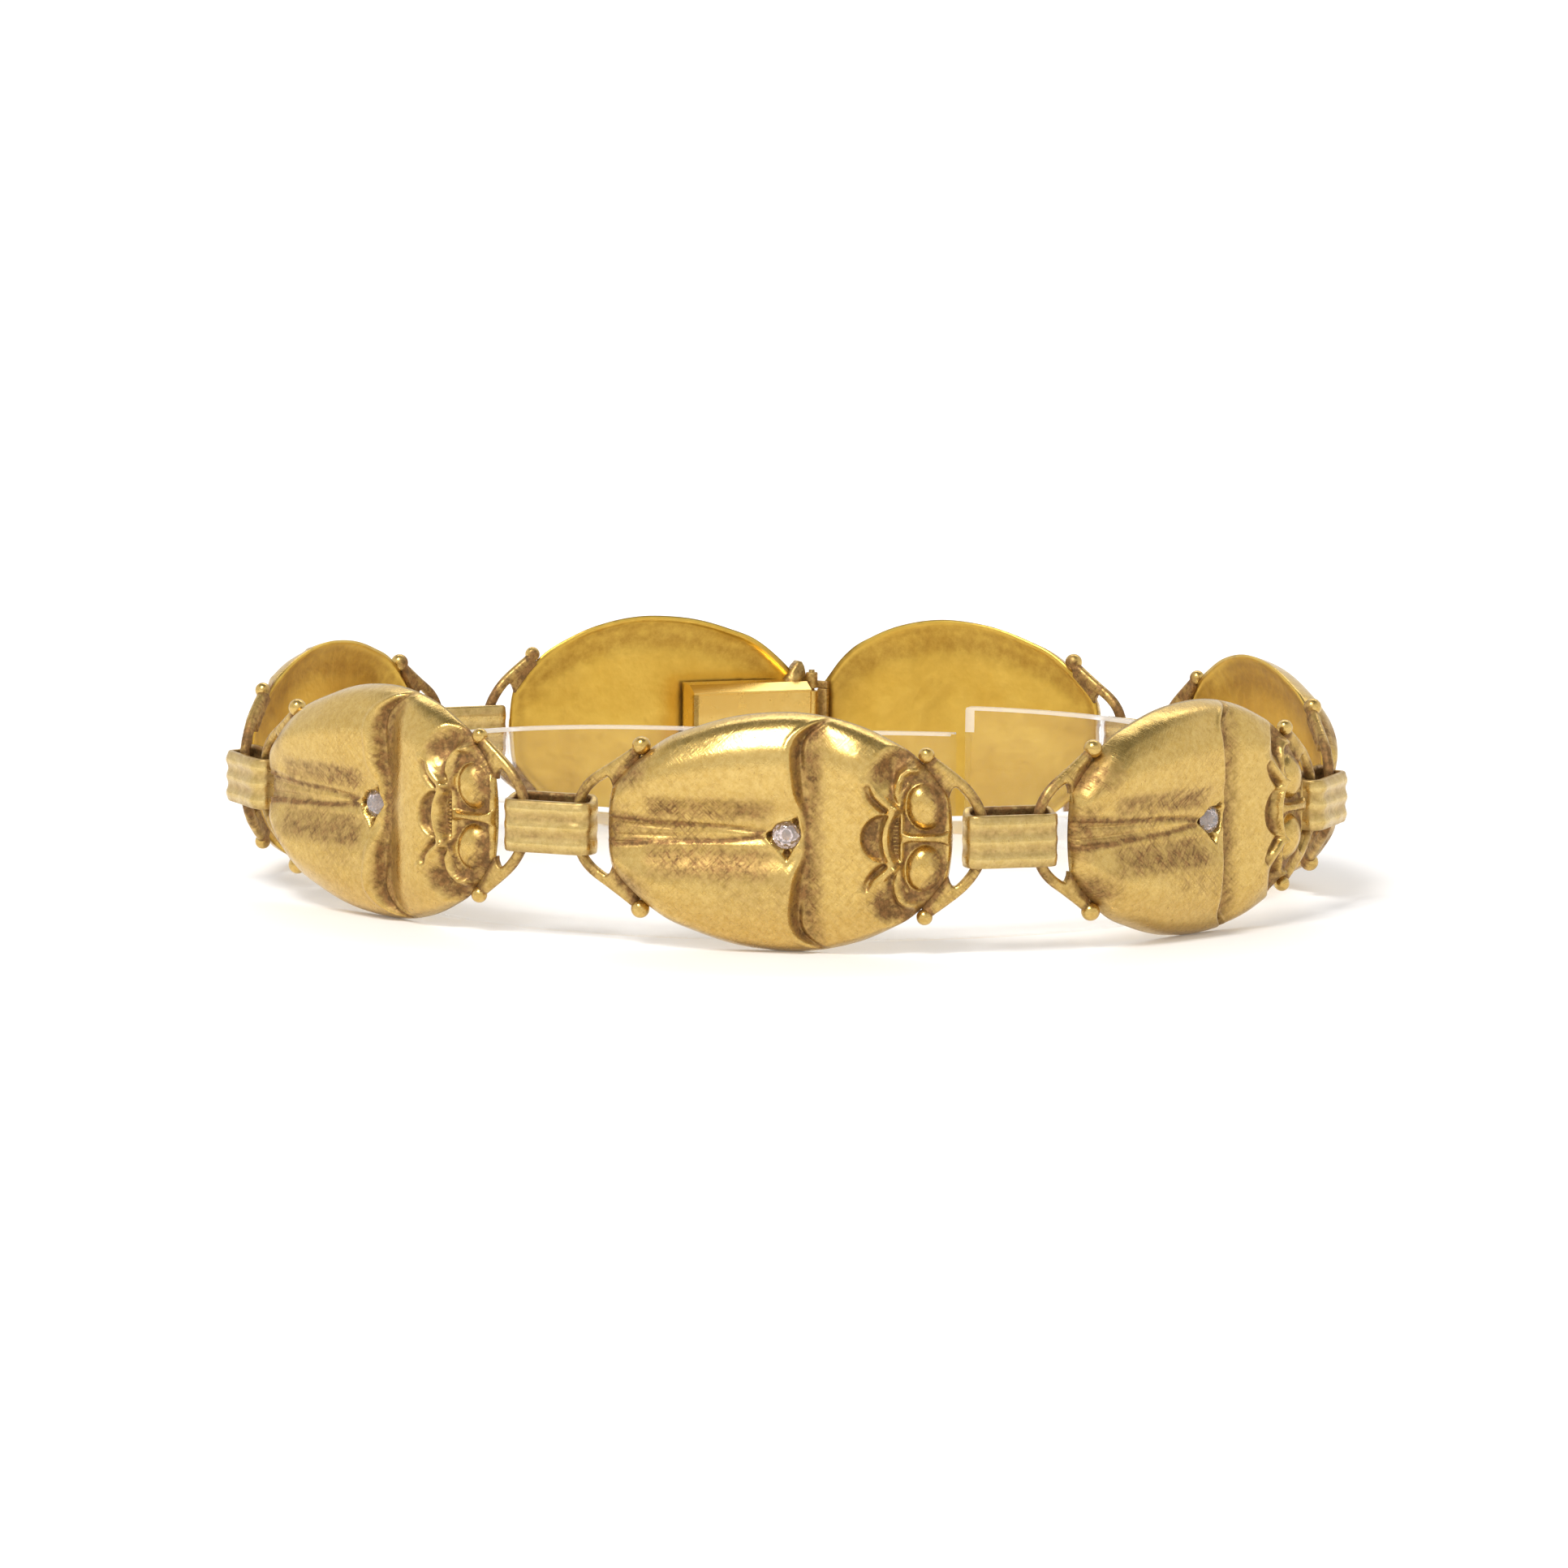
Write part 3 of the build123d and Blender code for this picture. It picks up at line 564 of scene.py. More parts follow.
def add_piece(name, mesh, replaced):
    """Object of a finished mesh, which rides with the part and stands for its CAD nodes."""
    piece = bpy.data.objects.new(name, mesh)
    bpy.context.scene.collection.objects.link(piece)
    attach(piece, "root")
    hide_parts(*replaced)


satin = satin_gold("satin_14k_gold", "#E0C37B", "#C69F4F")
plain = plain_gold()


# Hinge wires. Round 14 karat gold wire bent into a loop at each end of a shell, with a ball melted on
# each tip, and soldered into the corners of the shell so that the solder fills them.
WIRE = 0.62
WIRE_STEPS = 8
# A loop's bar, along and out, and half its length
TAIL_BAR = (-11.1, -0.5)
HEAD_BAR = (10.84, -0.5)
BAR_HALF = 1.5
# A ball's place, along and up, and its size
TAIL_BALL = (-7.56, 4.42, 1.02)
HEAD_BALL = (7.9, 4.35, 0.88)
# The solder's thickness, the shares of the end that it follows the outline at, how far it stays inside, and
# its edge past the end, as steps out and up
SOLDER = 0.55
SOLDER_SHARES = (1.0, 0.96, 0.9, 0.84)
SOLDER_INSET = 0.15
SOLDER_EDGE = ((0.32, 0.62), (0.2, 0.5), (0.1, 0.36), (0.04, 0.18), (-0.05, -0.1))
END_HALF = OUTLINE[-1][1]
VOXEL = 0.1


def add_block(shape, low, high, bevel):
    """Block between two corners, with its edges bevelled."""
    size = Vector(high) - Vector(low)
    place = Matrix.Translation((Vector(low) + Vector(high)) / 2) @ Matrix.Diagonal((*size, 1))
    made = bmesh.ops.create_cube(shape, size=1, matrix=place)
    edges = {edge for vertex in made["verts"] for edge in vertex.link_edges}
    bmesh.ops.bevel(shape, geom=list(edges), offset=bevel, segments=2, affect="EDGES", profile=0.5)


def add_prism(shape, corners, low, high, lying=False):
    """Prism over flat corners along and up, or one that lies along a link over corners out and up."""
    rings = []
    for level in (low, high):
        places = [(level, up, flat) if lying else (flat, up, level) for flat, up in corners]
        rings.append([shape.verts.new(place) for place in places])
    for ring in rings:
        shape.faces.new(ring)
    for k in range(len(corners)):
        after = (k + 1) % len(corners)
        shape.faces.new([rings[0][k], rings[0][after], rings[1][after], rings[1][k]])


def add_tube(shape, points, radius):
    """Round wire along a smooth line that the points pull."""
    curve = bpy.data.curves.new("wire", "CURVE")
    curve.dimensions = "3D"
    spline = curve.splines.new("NURBS")
    spline.points.add(len(points) - 1)
    for place, point in zip(spline.points, points):
        place.co = (*point, 1)
    spline.order_u = 3
    spline.use_endpoint_u = True
    curve.resolution_u = WIRE_STEPS
    curve.bevel_depth = radius
    curve.bevel_resolution = 4
    curve.use_fill_caps = True
    wire = bpy.data.objects.new("wire", curve)
    mesh = bpy.data.meshes.new_from_object(wire)
    shape.from_mesh(mesh)
    bpy.data.objects.remove(wire)
    bpy.data.curves.remove(curve)
    bpy.data.meshes.remove(mesh)


def add_loop(shape, bar, ball):
    """One hinge loop with the solder in the shell's corners."""
    along, level = bar
    ball_along, ball_up = ball[:2]
    hand = 1 if along > 0 else -1
    end = hand * END
    points = [(ball_along, ball_up - 0.12, 0.05), (ball_along + hand * 1.5, ball_up - 1.2, level * 0.3)]
    points += [(along - hand * 0.6, BAR_HALF * 1.55, level * 0.75), (along, BAR_HALF * 0.85, level)]
    points += [(along, BAR_HALF * 0.3, level)]
    points += [(x, -y, z) for x, y, z in reversed(points)]
    add_tube(shape, points, WIRE / 2)
    for side in (1, -1):
        corners = []
        for share in SOLDER_SHARES:
            half = float(through(OUTLINE, np.array(end * share)))
            corners.append((end * share, side * (half - SOLDER_INSET)))
        corners.append((ball_along, side * (ball_up - SOLDER_INSET)))
        corners += [(end + hand * step_out, side * (END_HALF + lift)) for step_out, lift in SOLDER_EDGE]
        add_prism(shape, corners if hand * side > 0 else corners[::-1], -SOLDER * 0.55, SOLDER * 0.3)


def fused(shape):
    """Mesh of loose solids that are melted into one, with its surface eased."""
    mesh = bpy.data.meshes.new("fused")
    bmesh.ops.recalc_face_normals(shape, faces=shape.faces)
    shape.to_mesh(mesh)
    shape.free()
    lump = bpy.data.objects.new("fused", mesh)
    bpy.context.scene.collection.objects.link(lump)
    remesh = lump.modifiers.new("melt", "REMESH")
    remesh.mode = "VOXEL"
    remesh.voxel_size = VOXEL
    ease_down = lump.modifiers.new("ease", "SMOOTH")
    ease_down.factor = 0.5
    ease_down.iterations = 4
    seen = lump.evaluated_get(bpy.context.evaluated_depsgraph_get())
    result = bpy.data.meshes.new_from_object(seen)
    bpy.data.objects.remove(lump)
    return result


def hinge_wires(name):
    """Loops with their solder, at the ends of a link that has them there."""
    shape = bmesh.new()
    ends = []
    if name != "back_left":
        ends.append((TAIL_BAR, TAIL_BALL))
    if name != "back_right":
        ends.append((HEAD_BAR, HEAD_BALL))
    for bar, ball in ends:
        add_loop(shape, bar, ball)
    mesh = fused(shape)
    points = np.array([vertex.co for vertex in mesh.vertices])
    from_shell = np.abs(points[:, 1]) - through(OUTLINE, np.clip(points[:, 0], -END, END))
    brown = bell(from_shell - 0.05, 0.4) * (np.abs(points[:, 0]) < END + 0.3)
    brown += 0.16 + 0.5 * (1 - ease(-0.4, -0.15, points[:, 2])) + 0.3 * ease(9.9, 10.4, np.abs(points[:, 0]))
    for along, up, size in (TAIL_BALL, HEAD_BALL):
        from_ball = np.hypot(points[:, 0] - along, np.abs(points[:, 1]) - up)
        brown += 0.8 * (1 - ease(size * 0.5, size * 0.85, from_ball))
    set_patina_and_shade(mesh, np.clip(brown, 0, 1))
    return mesh


def wire_balls(name):
    """Balls melted on the tips of the wires."""
    shape = bmesh.new()
    for end, (along, up, size) in (("back_left", TAIL_BALL), ("back_right", HEAD_BALL)):
        for side in (1, -1):
            if name != end:
                place = Matrix.Translation((along, side * up, 0.12))
                bmesh.ops.create_icosphere(shape, subdivisions=3, radius=size / 2, matrix=place)
    mesh = mesh_of(shape)
    points = np.array([vertex.co for vertex in mesh.vertices])
    set_patina_and_shade(mesh, 0.9 * (1 - ease(-0.35, -0.05, points[:, 2])))
    return mesh


def mesh_of(shape):
    """Mesh of a bmesh shape, with its faces turned outwards."""
    mesh = bpy.data.meshes.new("shape")
    bmesh.ops.recalc_face_normals(shape, faces=shape.faces)
    shape.to_mesh(mesh)
    shape.free()
    return mesh


# Clasp. A box of gold sheet soldered into the back of one link takes a folded spring tongue, which
# hangs on a pinned hinge of three knuckles at the head of the next.
BOX_LENGTH = 7.5
BOX_HEIGHT = 4.6
BOX_LOW = -1.8
BOX_DEPTH = 2.1
BOX_SHEET = 0.35
BOX_BEVEL = 0.05
# The lid plate is this thick, and the plates that meet it reach a hair into it
LID_SHEET = 0.5
LID_MEETS = 0.48
# Outline of the lug, from the mouth of the box along, and up from the box
LUG = [
    (1.5, 0.0), (1.15, 0.5), (0.7, 1.25), (0.44, 1.52), (0.24, 1.5), (0.08, 1.2), (-0.06, 0.5),
    (-0.1, 0.0),
]
LUG_DEPTH = (-0.5, 0.3)
HINGE_ALONG = 9.7
KNUCKLE = 0.36
KNUCKLE_REACH = 2.8
KNUCKLE_START = 1.85
PIN = 0.18
PIN_LENGTH = 5.9
LEAF = 0.3


def clasp_box():
    """Box of five plates, open at the tail."""
    shape = bmesh.new()
    near = -END - 0.05
    far = near + BOX_LENGTH
    half = BOX_HEIGHT / 2
    high = BOX_LOW + BOX_DEPTH
    low_edge = BOX_LOW - 0.03
    plates = [
        ((near, -half, BOX_LOW), (far, half - LID_MEETS, BOX_LOW + BOX_SHEET)),
        ((near, -half, high - BOX_SHEET), (far, half, high)),
        ((near, -half, low_edge), (far, -half + BOX_SHEET, high)),
    ]
    for low, top in plates:
        add_block(shape, low, top, BOX_BEVEL)
    # The lid plate, with a bevel along its front that catches the light
    edge = [(low_edge, half - 0.38), (BOX_LOW + 0.8, half + 0.02), (high, half + 0.04)]
    edge += [(high, half - LID_SHEET), (low_edge, half - LID_SHEET)]
    add_prism(shape, edge, near, far, lying=True)
    add_block(shape, (far - BOX_SHEET, -half, BOX_LOW), (far, half - LID_MEETS, high), BOX_BEVEL)
    return shape


def clasp_lug():
    """Lug that stands up like a fin at the mouth of the box."""
    shape = bmesh.new()
    near = -END - 0.15
    foot = BOX_HEIGHT / 2 - BOX_SHEET
    add_prism(shape, [(near + along, foot + up) for along, up in LUG[::-1]], *LUG_DEPTH)
    return shape


def add_rod(shape, up, radius, length, segments):
    """Round rod that stands on the hinge's line; gives back its vertices."""
    turn = Matrix.Rotation(math.radians(90), 4, "X")
    place = Matrix.Translation((HINGE_ALONG, up, -RIM_OUT)) @ turn
    return bmesh.ops.create_cone(
        shape, cap_ends=True, segments=segments, radius1=radius, radius2=radius, depth=length, matrix=place
    )["verts"]


def clasp_hinge():
    """Two outer knuckles on the pin, with the plates that carry them."""
    shape = bmesh.new()
    level = -RIM_OUT
    near = END - 0.5
    reach = KNUCKLE_REACH - KNUCKLE_START
    for hand in (1, -1):
        made = add_rod(shape, hand * (KNUCKLE_START + reach / 2), KNUCKLE, reach, 40)
        rims = {edge for vertex in made for edge in vertex.link_edges if edge.calc_face_angle(0) > 1}
        bmesh.ops.bevel(shape, geom=list(rims), offset=0.05, segments=2, affect="EDGES", profile=0.5)
        low_up, high_up = sorted((hand * KNUCKLE_START, hand * KNUCKLE_REACH))
        add_block(shape, (near, low_up, level), (HINGE_ALONG, high_up - 0.5, level + LEAF), 0.06)
    # The leaf between them stops just short of the tongue's own knuckle
    low = (near, -KNUCKLE_START, level - 0.05)
    add_block(shape, low, (HINGE_ALONG - 0.4, KNUCKLE_START, level + LEAF), 0.06)
    add_rod(shape, 0, PIN, PIN_LENGTH, 24)
    return shape


# Ribs. Nine short bars of gold, chased side by side in the strip between the W-shaped lip and the eyes.
RIBS = {"Count": 9, "Pitch": 0.21, "Length": 0.44, "Radius": 0.08}
RIBS_ALONG = 6.38
RIBS_OUT = 0.98


def new_tree(name, inputs):
    """Empty geometry tree with its named inputs, given as name and kind."""
    tree = bpy.data.node_groups.new(name, "GeometryNodeTree")
    for label, kind in inputs:
        tree.interface.new_socket(label, in_out="INPUT", socket_type=f"NodeSocket{kind}")
    tree.interface.new_socket("Geometry", in_out="OUTPUT", socket_type="NodeSocketGeometry")
    return tree, tree.nodes.new("NodeGroupInput").outputs


def finish_tree(tree, geometry, material):
    """Realize Instances, Set Material and the output at the end of a tree."""
    real = add_node(tree, "GeometryNodeRealizeInstances", Geometry=geometry)
    painted = add_node(tree, "GeometryNodeSetMaterial", Geometry=real.outputs[0], Material=material)
    add_node(tree, "NodeGroupOutput", Geometry=painted.outputs[0])


def grown(tree, sizes):
    """Plain mesh that a geometry tree makes with the sizes given."""
    host = bpy.data.objects.new("host", bpy.data.meshes.new("host"))
    bpy.context.scene.collection.objects.link(host)
    modifier = host.modifiers.new("grow", "NODES")
    modifier.node_group = tree
    for item in tree.interface.items_tree:
        if item.in_out == "INPUT":
            modifier[item.identifier] = sizes[item.name]
    seen = host.evaluated_get(bpy.context.evaluated_depsgraph_get())
    mesh = bpy.data.meshes.new_from_object(seen)
    bpy.data.objects.remove(host)
    return mesh


def rib_tree():
    """Row of equal rounded bars along a line."""
    inputs = [("Count", "Int"), ("Pitch", "Float"), ("Length", "Float"), ("Radius", "Float")]
    tree, sizes = new_tree("ribs", inputs)
    step = add_node(tree, "ShaderNodeCombineXYZ", Y=sizes["Pitch"]).outputs[0]
    row = add_node(tree, "GeometryNodeMeshLine", {"mode": "OFFSET"}, Count=sizes["Count"], Offset=step)
    ball = add_node(tree, "GeometryNodeMeshUVSphere", Segments=12, Rings=8, Radius=sizes["Radius"])
    half = maths(tree, "MULTIPLY", maths(tree, "DIVIDE", sizes["Length"], sizes["Radius"]), 0.5)
    scale = add_node(tree, "ShaderNodeCombineXYZ", X=half, Y=1.0, Z=1.0).outputs[0]
    places = {"Points": row.outputs[0], "Instance": ball.outputs[0], "Scale": scale}
    bars = add_node(tree, "GeometryNodeInstanceOnPoints", **places)
    finish_tree(tree, bars.outputs[0], satin)
    return tree


def cheek_ribs():
    """The ribs in their place on a link."""
    mesh = grown(rib_tree(), RIBS)
    mesh.transform(Matrix.Translation((RIBS_ALONG, -RIBS["Pitch"] * (RIBS["Count"] - 1) / 2, RIBS_OUT)))
    return mesh


def soldered(name, parts):
    """One mesh of several, each with the material that its faces take."""
    points = []
    faces = []
    paints = []
    browns = []
    smooth = []
    for mesh, paint in parts:
        first = len(points)
        points += [tuple(vertex.co) for vertex in mesh.vertices]
        faces += [[first + corner for corner in face.vertices] for face in mesh.polygons]
        paints += [face.material_index if paint is None else paint for face in mesh.polygons]
        smooth += [face.use_smooth if paint is None else paint == 0 for face in mesh.polygons]
        patina = mesh.attributes.get("patina")
        browns += [item.value for item in patina.data] if patina else [0.5] * len(mesh.vertices)
    joined = bpy.data.meshes.new(name)
    joined.from_pydata(points, [], faces)
    joined.polygons.foreach_set("material_index", paints)
    joined.polygons.foreach_set("use_smooth", smooth)
    set_patina_and_shade(joined, browns)
    corners = np.array(points)[[loop.vertex_index for loop in joined.loops]]
    flat_map = joined.uv_layers.new(name="brushing")
    flat_map.data.foreach_set("uv", (corners[:, :2] / MAP_SIDE + 0.5).ravel())
    for material in (satin, plain, bright):
        joined.materials.append(material)
    return joined


def bright_gold():
    """14 karat gold, burnished: the box of the clasp, with wear from use that shifts its colour and gloss a
    little.
    """
    material, tree, shader = new_material("burnished_14k_gold", Metallic=1.0)
    wear = noise(tree, 0.7, 6.0, 0.7)
    tree.links.new(mixed(tree, wear, "#F0D182", "#E6C26B"), shader.inputs["Base Color"])
    tree.links.new(ranged(tree, wear, 0.0, 1.0, 0.2, 0.32), shader.inputs["Roughness"])
    return material


bright = bright_gold()
shell_mesh = beetle_shell()
ribs = cheek_ribs()
kinds = ("both", "back_left", "back_right")
loops = {kind: [(hinge_wires(kind), 0), (wire_balls(kind), 0)] for kind in kinds}
for name, place in links.items():
    parts = [(shell_mesh, None), (ribs, 0)] + loops.get(name, loops["both"])
    if name == "back_left":
        parts += [(mesh_of(clasp_box()), 2), (mesh_of(clasp_lug()), 0)]
    if name == "back_right":
        parts.append((mesh_of(clasp_hinge()), 0))
    mesh = soldered(f"beetle_{name}", parts)
    mesh.transform(place)
    add_piece(f"beetle_{name}", mesh, [f"scarab_{name}"])

for face_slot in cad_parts["clasp_tongue"].material_slots:
    face_slot.material = bright


# Sleeves. Strip gold rolled with two flutes, wrapped into a flat sleeve round the wires of two links and
# soldered shut. Its inner faces are coloured darker and made rougher than its outside.
SLEEVE = {"Length": 5.2, "Depth": 2.1, "Height": 2.85, "Sheet": 0.38, "Flute Depth": 0.14, "Rise": 0.3}
# Ridges up the height of the strip, with a flute between each two
RIDGES = 3


def rounded(tree, wide, high, corner_steps, bend, spacing):
    """Closed line round a rectangle with rounded corners, in even steps."""
    line = add_node(tree, "GeometryNodeCurvePrimitiveQuadrilateral", Width=wide, Height=high).outputs[0]
    corners = {"Curve": line, "Count": corner_steps, "Radius": bend}
    line = add_node(tree, "GeometryNodeFilletCurve", {"mode": "POLY"}, **corners).outputs[0]
    line = add_node(tree, "GeometryNodeResampleCurve", {"mode": "LENGTH"}, Curve=line, Length=spacing)
    return line.outputs[0]


def directions(tree, kind, **inputs):
    """Node that works with directions."""
    return add_node(tree, "ShaderNodeVectorMath", {"operation": kind}, **inputs)


def sleeve_tree(material):
    """Strip swept round a flat oval, with flutes all the way round and a slightly uneven hand finish."""
    tree, sizes = new_tree("fluted_sleeve", [(label, "Float") for label in (*SLEEVE, "Seed")])
    wide = maths(tree, "SUBTRACT", sizes["Length"], sizes["Sheet"])
    deep = maths(tree, "SUBTRACT", sizes["Depth"], sizes["Sheet"])
    path = rounded(tree, wide, deep, 12, maths(tree, "MULTIPLY", deep, 0.4), 0.18)
    strip = rounded(tree, sizes["Sheet"], sizes["Height"], 3, 0.09, 0.085)
    caught = tree.nodes.new("GeometryNodeCaptureAttribute")
    caught.capture_items.new("VECTOR", "Tangent")
    tree.links.new(path, caught.inputs["Geometry"])
    tree.links.new(tree.nodes.new("GeometryNodeInputTangent").outputs[0], caught.inputs["Tangent"])
    skin = add_node(tree, "GeometryNodeCurveToMesh", Curve=caught.outputs["Geometry"], Profile_Curve=strip)
    outward = directions(tree, "CROSS_PRODUCT", i0=caught.outputs["Tangent"], i1=(0, 0, 1)).outputs[0]
    at = tree.nodes.new("GeometryNodeInputPosition").outputs[0]
    apart = add_node(tree, "ShaderNodeSeparateXYZ", Vector=at).outputs
    turns = maths(tree, "DIVIDE", maths(tree, "MULTIPLY", apart["Z"], 2 * RIDGES * math.pi), sizes["Height"])
    wave = maths(tree, "MULTIPLY", maths(tree, "SUBTRACT", maths(tree, "COSINE", turns), 1.0), 0.5)
    hand = {"Vector": at, "W": sizes["Seed"], "Scale": 0.7}
    wobble = add_node(tree, "ShaderNodeTexNoise", {"noise_dimensions": "4D"}, **hand)
    uneven = maths(tree, "MULTIPLY", maths(tree, "SUBTRACT", wobble.outputs["Fac"], 0.5), 0.16)
    # The flutes are full on the flat sides, and fade round the bends
    facing = add_node(tree, "ShaderNodeSeparateXYZ", Vector=outward).outputs["Y"]
    flat = maths(tree, "MAXIMUM", maths(tree, "POWER", maths(tree, "ABSOLUTE", facing), 2.0), 0.3)
    push = maths(tree, "MULTIPLY", maths(tree, "MULTIPLY", wave, flat), sizes["Flute Depth"])
    push = maths(tree, "ADD", push, uneven)
    # The wall next to the wrist stands a little higher than the outer one
    higher = maths(tree, "MULTIPLY", ranged(tree, apart["Y"], 0.0, 0.8), ranged(tree, apart["Z"], 0.0, 1.4))
    lifted = add_node(tree, "ShaderNodeCombineXYZ", Z=maths(tree, "MULTIPLY", higher, sizes["Rise"]))
    offset = directions(tree, "SCALE", i0=outward, Scale=push)
    offset = directions(tree, "ADD", i0=offset.outputs[0], i1=lifted.outputs[0])
    moved = add_node(tree, "GeometryNodeSetPosition", Geometry=skin.outputs[0], Offset=offset.outputs[0])
    # Patina lies in the flutes, and the faces that look into the sleeve are darker
    normal = tree.nodes.new("GeometryNodeInputNormal").outputs[0]
    hidden = directions(tree, "DOT_PRODUCT", i0=outward, i1=normal).outputs["Value"]
    dark = maths(tree, "MAXIMUM", maths(tree, "MULTIPLY", wave, -0.4), ranged(tree, hidden, 0.0, -0.6))
    held = {"Geometry": moved.outputs[0], "Name": "patina", "Value": dark}
    settings = {"data_type": "FLOAT", "domain": "POINT"}
    stored = add_node(tree, "GeometryNodeStoreNamedAttribute", settings, **held)
    smooth = add_node(tree, "GeometryNodeSetShadeSmooth", Geometry=stored.outputs[0])
    finish_tree(tree, smooth.outputs[0], material)
    return tree


def flat_place(node):
    """Place of an upright piece, read from its node: X along it, Y to the wrist, Z up, on its middle."""
    corners = np.array([vertex.co for vertex in node.data.vertices])
    middle = (corners.max(axis=0) + corners.min(axis=0)) / 2
    spread = np.linalg.eigh(np.cov(corners[:, :2].T))[1][:, -1]
    ahead = Vector((spread[0], spread[1], 0))
    across = Vector((0, 0, 1)).cross(ahead)
    if across.dot(Vector(middle)) > 0:
        ahead, across = -ahead, -across
    columns = [ahead * MM, across * MM, Vector((0, 0, MM))]
    return Matrix.Translation(middle) @ Matrix([list(row) for row in zip(*columns)]).to_4x4()


# The same satin gold as the links', a little paler
tree = sleeve_tree(satin_gold("fluted_14k_gold", "#E2CA8A", "#C9A75B"))
for number in range(1, 7):
    mesh = grown(tree, {**SLEEVE, "Seed": number * 3.7})
    mesh.transform(flat_place(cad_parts[f"connector_{number}"]))
    add_piece(f"sleeve_{number}", mesh, [f"connector_{number}"])


# Stones. Round brilliants of 1.5 mm, each cut with a table, 32 crown facets and 24 below the girdle.
STONE = 0.75
CROWN = 0.24
PAVILION = 0.64
GIRDLE = 0.03


def brilliant():
    """Round brilliant in millimetres on its girdle, as the hull of its facets' corners."""
    table = STONE * 0.57
    star = STONE * 0.8
    lower = STONE * 0.22
    turn = math.radians(22.5)
    star_level = CROWN * (STONE - star * math.cos(turn)) / (STONE - table)
    lower_level = -PAVILION + (PAVILION - GIRDLE) * lower * math.cos(turn) / STONE
    rows = [(table, CROWN, 0, 8), (star, star_level, 1, 8), (STONE, 0, 0, 16), (STONE, -GIRDLE, 0, 16)]
    rows += [(lower, lower_level, 1, 8), (0, -PAVILION, 0, 1)]
    shape = bmesh.new()
    for radius, level, odd, count in rows:
        for k in range(count):
            angle = turn * (odd + k * 16 / count)
            shape.verts.new((radius * math.cos(angle), radius * math.sin(angle), level))
    bmesh.ops.convex_hull(shape, input=shape.verts)
    bmesh.ops.dissolve_limit(shape, angle_limit=0.01, verts=shape.verts, edges=shape.edges)
    return mesh_of(shape)


def cut_diamond():
    """Diamond: clear, with a faint pink of painted light in its colour; grey in this light, with white fire
    on its facets.
    """
    inputs = {"Base_Color": linear("#F4DDD8"), "Roughness": 0.02, "IOR": 2.42, "Transmission_Weight": 0.9}
    return new_material("old_cut_diamond", **inputs)[0]


diamond = cut_diamond()
for name, place in links.items():
    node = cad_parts[f"diamond_{name}"]
    corners = [place.inverted() @ vertex.co for vertex in node.data.vertices]
    top = max(corner.z for corner in corners)
    mesh = brilliant()
    mesh.materials.append(diamond)
    mesh.transform(place @ Matrix.Translation((STONE_ALONG, 0, top - CROWN)))
    add_piece(f"brilliant_{name}", mesh, [f"diamond_{name}"])


# Clear band. A split strip of acrylic, 1.1 mm thick, bent into an oval that springs out against the
# links and holds the bracelet open. Its rim climbs towards one side of the split.
BAND = (25.5, 21.4)
BAND_WALL = 1.1
BAND_HEIGHT = 6.75
BAND_LIFT = 1.6
# The back of the oval lies flatter, and its rim dips there: how far, and how wide each is
FLATTER = 1.6
FLATTER_WIDE = 13
RIM_DIP = 0.3
RIM_DIP_WIDE = 11
RIM_SLOPE = 0.012
SPLIT_AT = 10.2
SPLIT = 0.9
RAMP = (-16.05, 6.42)
BAND_STEPS = 260
BAND_BEVEL = 0.14
# The raised corner at the split is scuffed white on its inner face, this far down and this many steps along
SCUFF_DOWN = 1.45
SCUFF_STEPS = 1


def clear_band():
    """Strip with rounded edges, swept round its oval from one side of the split to the other."""
    wide, deep = BAND
    start = math.acos((SPLIT_AT - SPLIT / 2) / wide)
    stop = math.acos((SPLIT_AT + SPLIT / 2) / wide) + 2 * math.pi
    shape = bmesh.new()
    rings = []
    for k in range(BAND_STEPS + 1):
        angle = start + (stop - start) * k / BAND_STEPS
        x, y = wide * math.cos(angle), deep * math.sin(angle)
        y -= FLATTER * math.exp(-((x / FLATTER_WIDE) ** 2)) * max(0, y / deep)
        climb = ease(RAMP[0], RAMP[1], y) if x > SPLIT_AT - SPLIT and angle > math.pi else 0
        dip = RIM_DIP * math.exp(-((x / RIM_DIP_WIDE) ** 2)) * max(0, y / deep)
        height = BAND_HEIGHT + BAND_LIFT * float(climb) - dip - RIM_SLOPE * x
        inward = Vector((-x / wide**2, -y / deep**2, 0)).normalized()
        rows = [(BAND_BEVEL, 0), (0, BAND_BEVEL), (0, height - BAND_BEVEL), (BAND_BEVEL, height)]
        rows += [(BAND_WALL - BAND_BEVEL, height), (BAND_WALL, height - BAND_BEVEL)]
        rows += [(BAND_WALL, height - SCUFF_DOWN), (BAND_WALL, BAND_BEVEL), (BAND_WALL - BAND_BEVEL, 0)]
        rings.append([shape.verts.new(Vector((x, y, level)) + inward * depth) for depth, level in rows])
    for k, (near, far) in enumerate(zip(rings, rings[1:])):
        for j in range(len(near)):
            after = (j + 1) % len(near)
            face = shape.faces.new([near[j], near[after], far[after], far[j]])
            scuffed = j == 5 and k >= BAND_STEPS - SCUFF_STEPS
            # The top and its two bevels are sawn, and the rest is polished
            face.material_index = 1 if j in (2, 3, 4) or scuffed else 0
    for ring in (rings[0], rings[-1]):
        shape.faces.new(ring)
    return mesh_of(shape)


def clear_acrylic(name, haze, **inputs):
    """Clear acrylic: its faces are polished and nearly unseen, and its sawn edges are frosted white."""
    material, tree, shader = new_material(name, Base_Color=(1, 1, 1, 1), **inputs)
    rough = ranged(tree, noise(tree, 0.8, 5.0, 0.7), 0.0, 1.0, *haze)
    tree.links.new(rough, shader.inputs["Roughness"])
    return material


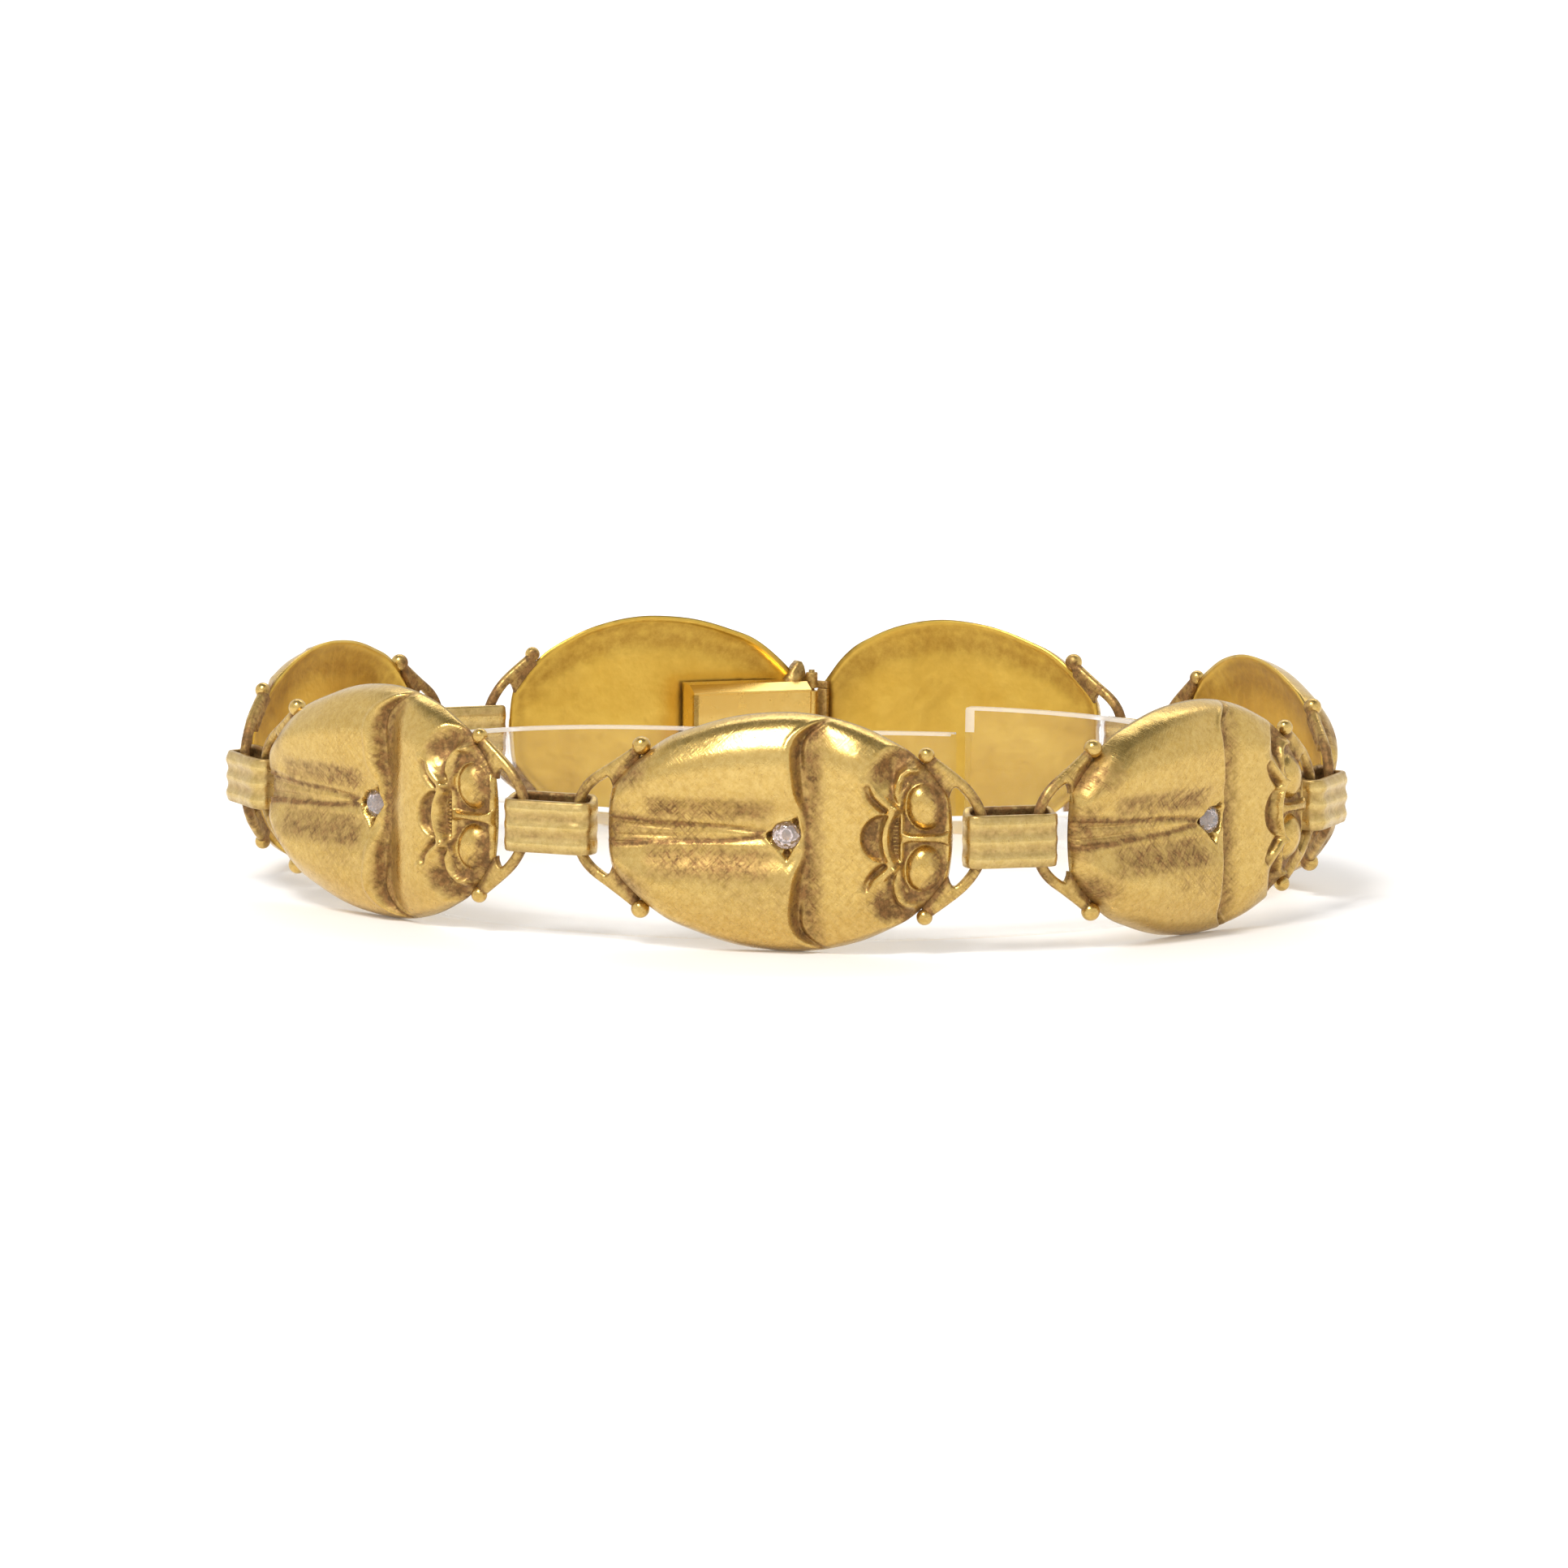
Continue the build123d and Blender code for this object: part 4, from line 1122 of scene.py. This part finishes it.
band_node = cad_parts["clear_band"]
corners = np.array([vertex.co for vertex in band_node.data.vertices])
middle = (corners.max(axis=0) + corners.min(axis=0)) / 2
mesh = clear_band()
mesh.polygons.foreach_set("use_smooth", [len(face.vertices) == 4 for face in mesh.polygons])
polished = {"IOR": 1.08, "Transmission_Weight": 0.9, "Alpha": 0.24}
mesh.materials.append(clear_acrylic("polished_clear_acrylic", (0.0, 0.06), **polished))
mesh.materials.append(clear_acrylic("sawn_clear_acrylic", (0.35, 0.7), IOR=1.2, Transmission_Weight=0.6))
mesh.transform(Matrix.Translation((middle[0], middle[1], corners[:, 2].min())) @ Matrix.Scale(MM, 4))
add_piece("split_band", mesh, ["clear_band"])


# Studio. A pale sweep of card lit by one broad soft box overhead and a soft room around it, and with a
# painted glow of its own; seen by a long lens from just above the bracelet.
# Lights, as place in metres, width, height and power
SOFTBOXES = {
    "softbox": ((-0.15, -0.3, 0.48), 0.17, 0.18, 2.1),
    "rim_light": ((0.06, 0.3, 0.46), 0.5, 0.12, 0.6),
}
FLOOR_SIDE = 12


def add_softbox(name, place, wide, tall, energy):
    """Soft box that faces the bracelet."""
    light = bpy.data.lights.new(name, "AREA")
    light.shape = "RECTANGLE"
    light.size = wide
    light.size_y = tall
    light.energy = energy
    lamp = bpy.data.objects.new(name, light)
    lamp.location = place
    lamp.rotation_euler = (-lamp.location).to_track_quat("-Z", "Y").to_euler()
    bpy.context.scene.collection.objects.link(lamp)


def glowing_white_card():
    """White card, which glows more away from the bracelet, so that it fades to plain white behind it."""
    inputs = {"Base_Color": linear("#F7F5F3"), "Roughness": 0.6, "Emission_Color": (1, 1, 1, 1)}
    material, tree, shader = new_material("glowing_white_card", **inputs)
    place = add_node(tree, "ShaderNodeTexCoord").outputs["Object"]
    reach = directions(tree, "LENGTH", i0=place).outputs["Value"]
    # Painted glow: the card's emission grows from 0.1 within 3 cm of the bracelet to 0.42 from 0.4 m out
    tree.links.new(ranged(tree, reach, 0.03, 0.4, 0.1, 0.42), shader.inputs["Emission Strength"])
    return material


def room():
    """World of white walls all round, and a dim ceiling that draws an olive line along the shoulders."""
    world = bpy.data.worlds.new("room")
    world.use_nodes = True
    bpy.context.scene.world = world
    tree = world.node_tree
    place = add_node(tree, "ShaderNodeTexCoord").outputs["Generated"]
    level = add_node(tree, "ShaderNodeSeparateXYZ", Vector=place).outputs["Z"]
    background = tree.nodes["Background"]
    background.inputs["Color"].default_value = (1, 1, 1, 1)
    tree.links.new(ranged(tree, level, 0.6, 0.88, 1.0, 0.22), background.inputs["Strength"])


bpy.context.scene.view_settings.view_transform = "Standard"
bpy.ops.mesh.primitive_plane_add(size=FLOOR_SIDE)
floor = bpy.context.object
floor.name = "floor"
floor.data.materials.append(glowing_white_card())
room()
for name, light in SOFTBOXES.items():
    add_softbox(name, *light)


# Camera. The photograph's: 7.45 degrees up, 0.4 m off, rolled by 0.6 of a degree, and aimed a little off
# the bracelet's middle. The shifts are in pixels of a picture that is 1932 wide.
ELEVATION = math.radians(7.4516)
ROLL = math.radians(0.5898)
AIM = (0.505, 0.162, 6.45)
DISTANCE = 400.29
LENS = 161.06
SENSOR = 36
PICTURE = 1932
SHIFT = (-11.18, -14.28)


def camera():
    """Camera that looks at the aim from its distance."""
    back = Vector((0, -math.cos(ELEVATION), math.sin(ELEVATION)))
    right = Vector((1, 0, 0))
    above = back.cross(right)
    across = right * math.cos(ROLL) + above * math.sin(ROLL)
    upward = -right * math.sin(ROLL) + above * math.cos(ROLL)
    data = bpy.data.cameras.new("camera")
    data.sensor_width = SENSOR
    data.lens = LENS
    data.shift_x = SHIFT[0] / PICTURE
    data.shift_y = SHIFT[1] / PICTURE
    data.clip_start = 0.01
    eye = bpy.data.objects.new("camera", data)
    turned = Matrix([list(row) for row in zip(across, upward, back)]).to_4x4()
    eye.matrix_world = Matrix.Translation(Vector(AIM) * MM + back * DISTANCE * MM) @ turned
    bpy.context.scene.collection.objects.link(eye)
    bpy.context.scene.camera = eye


camera()
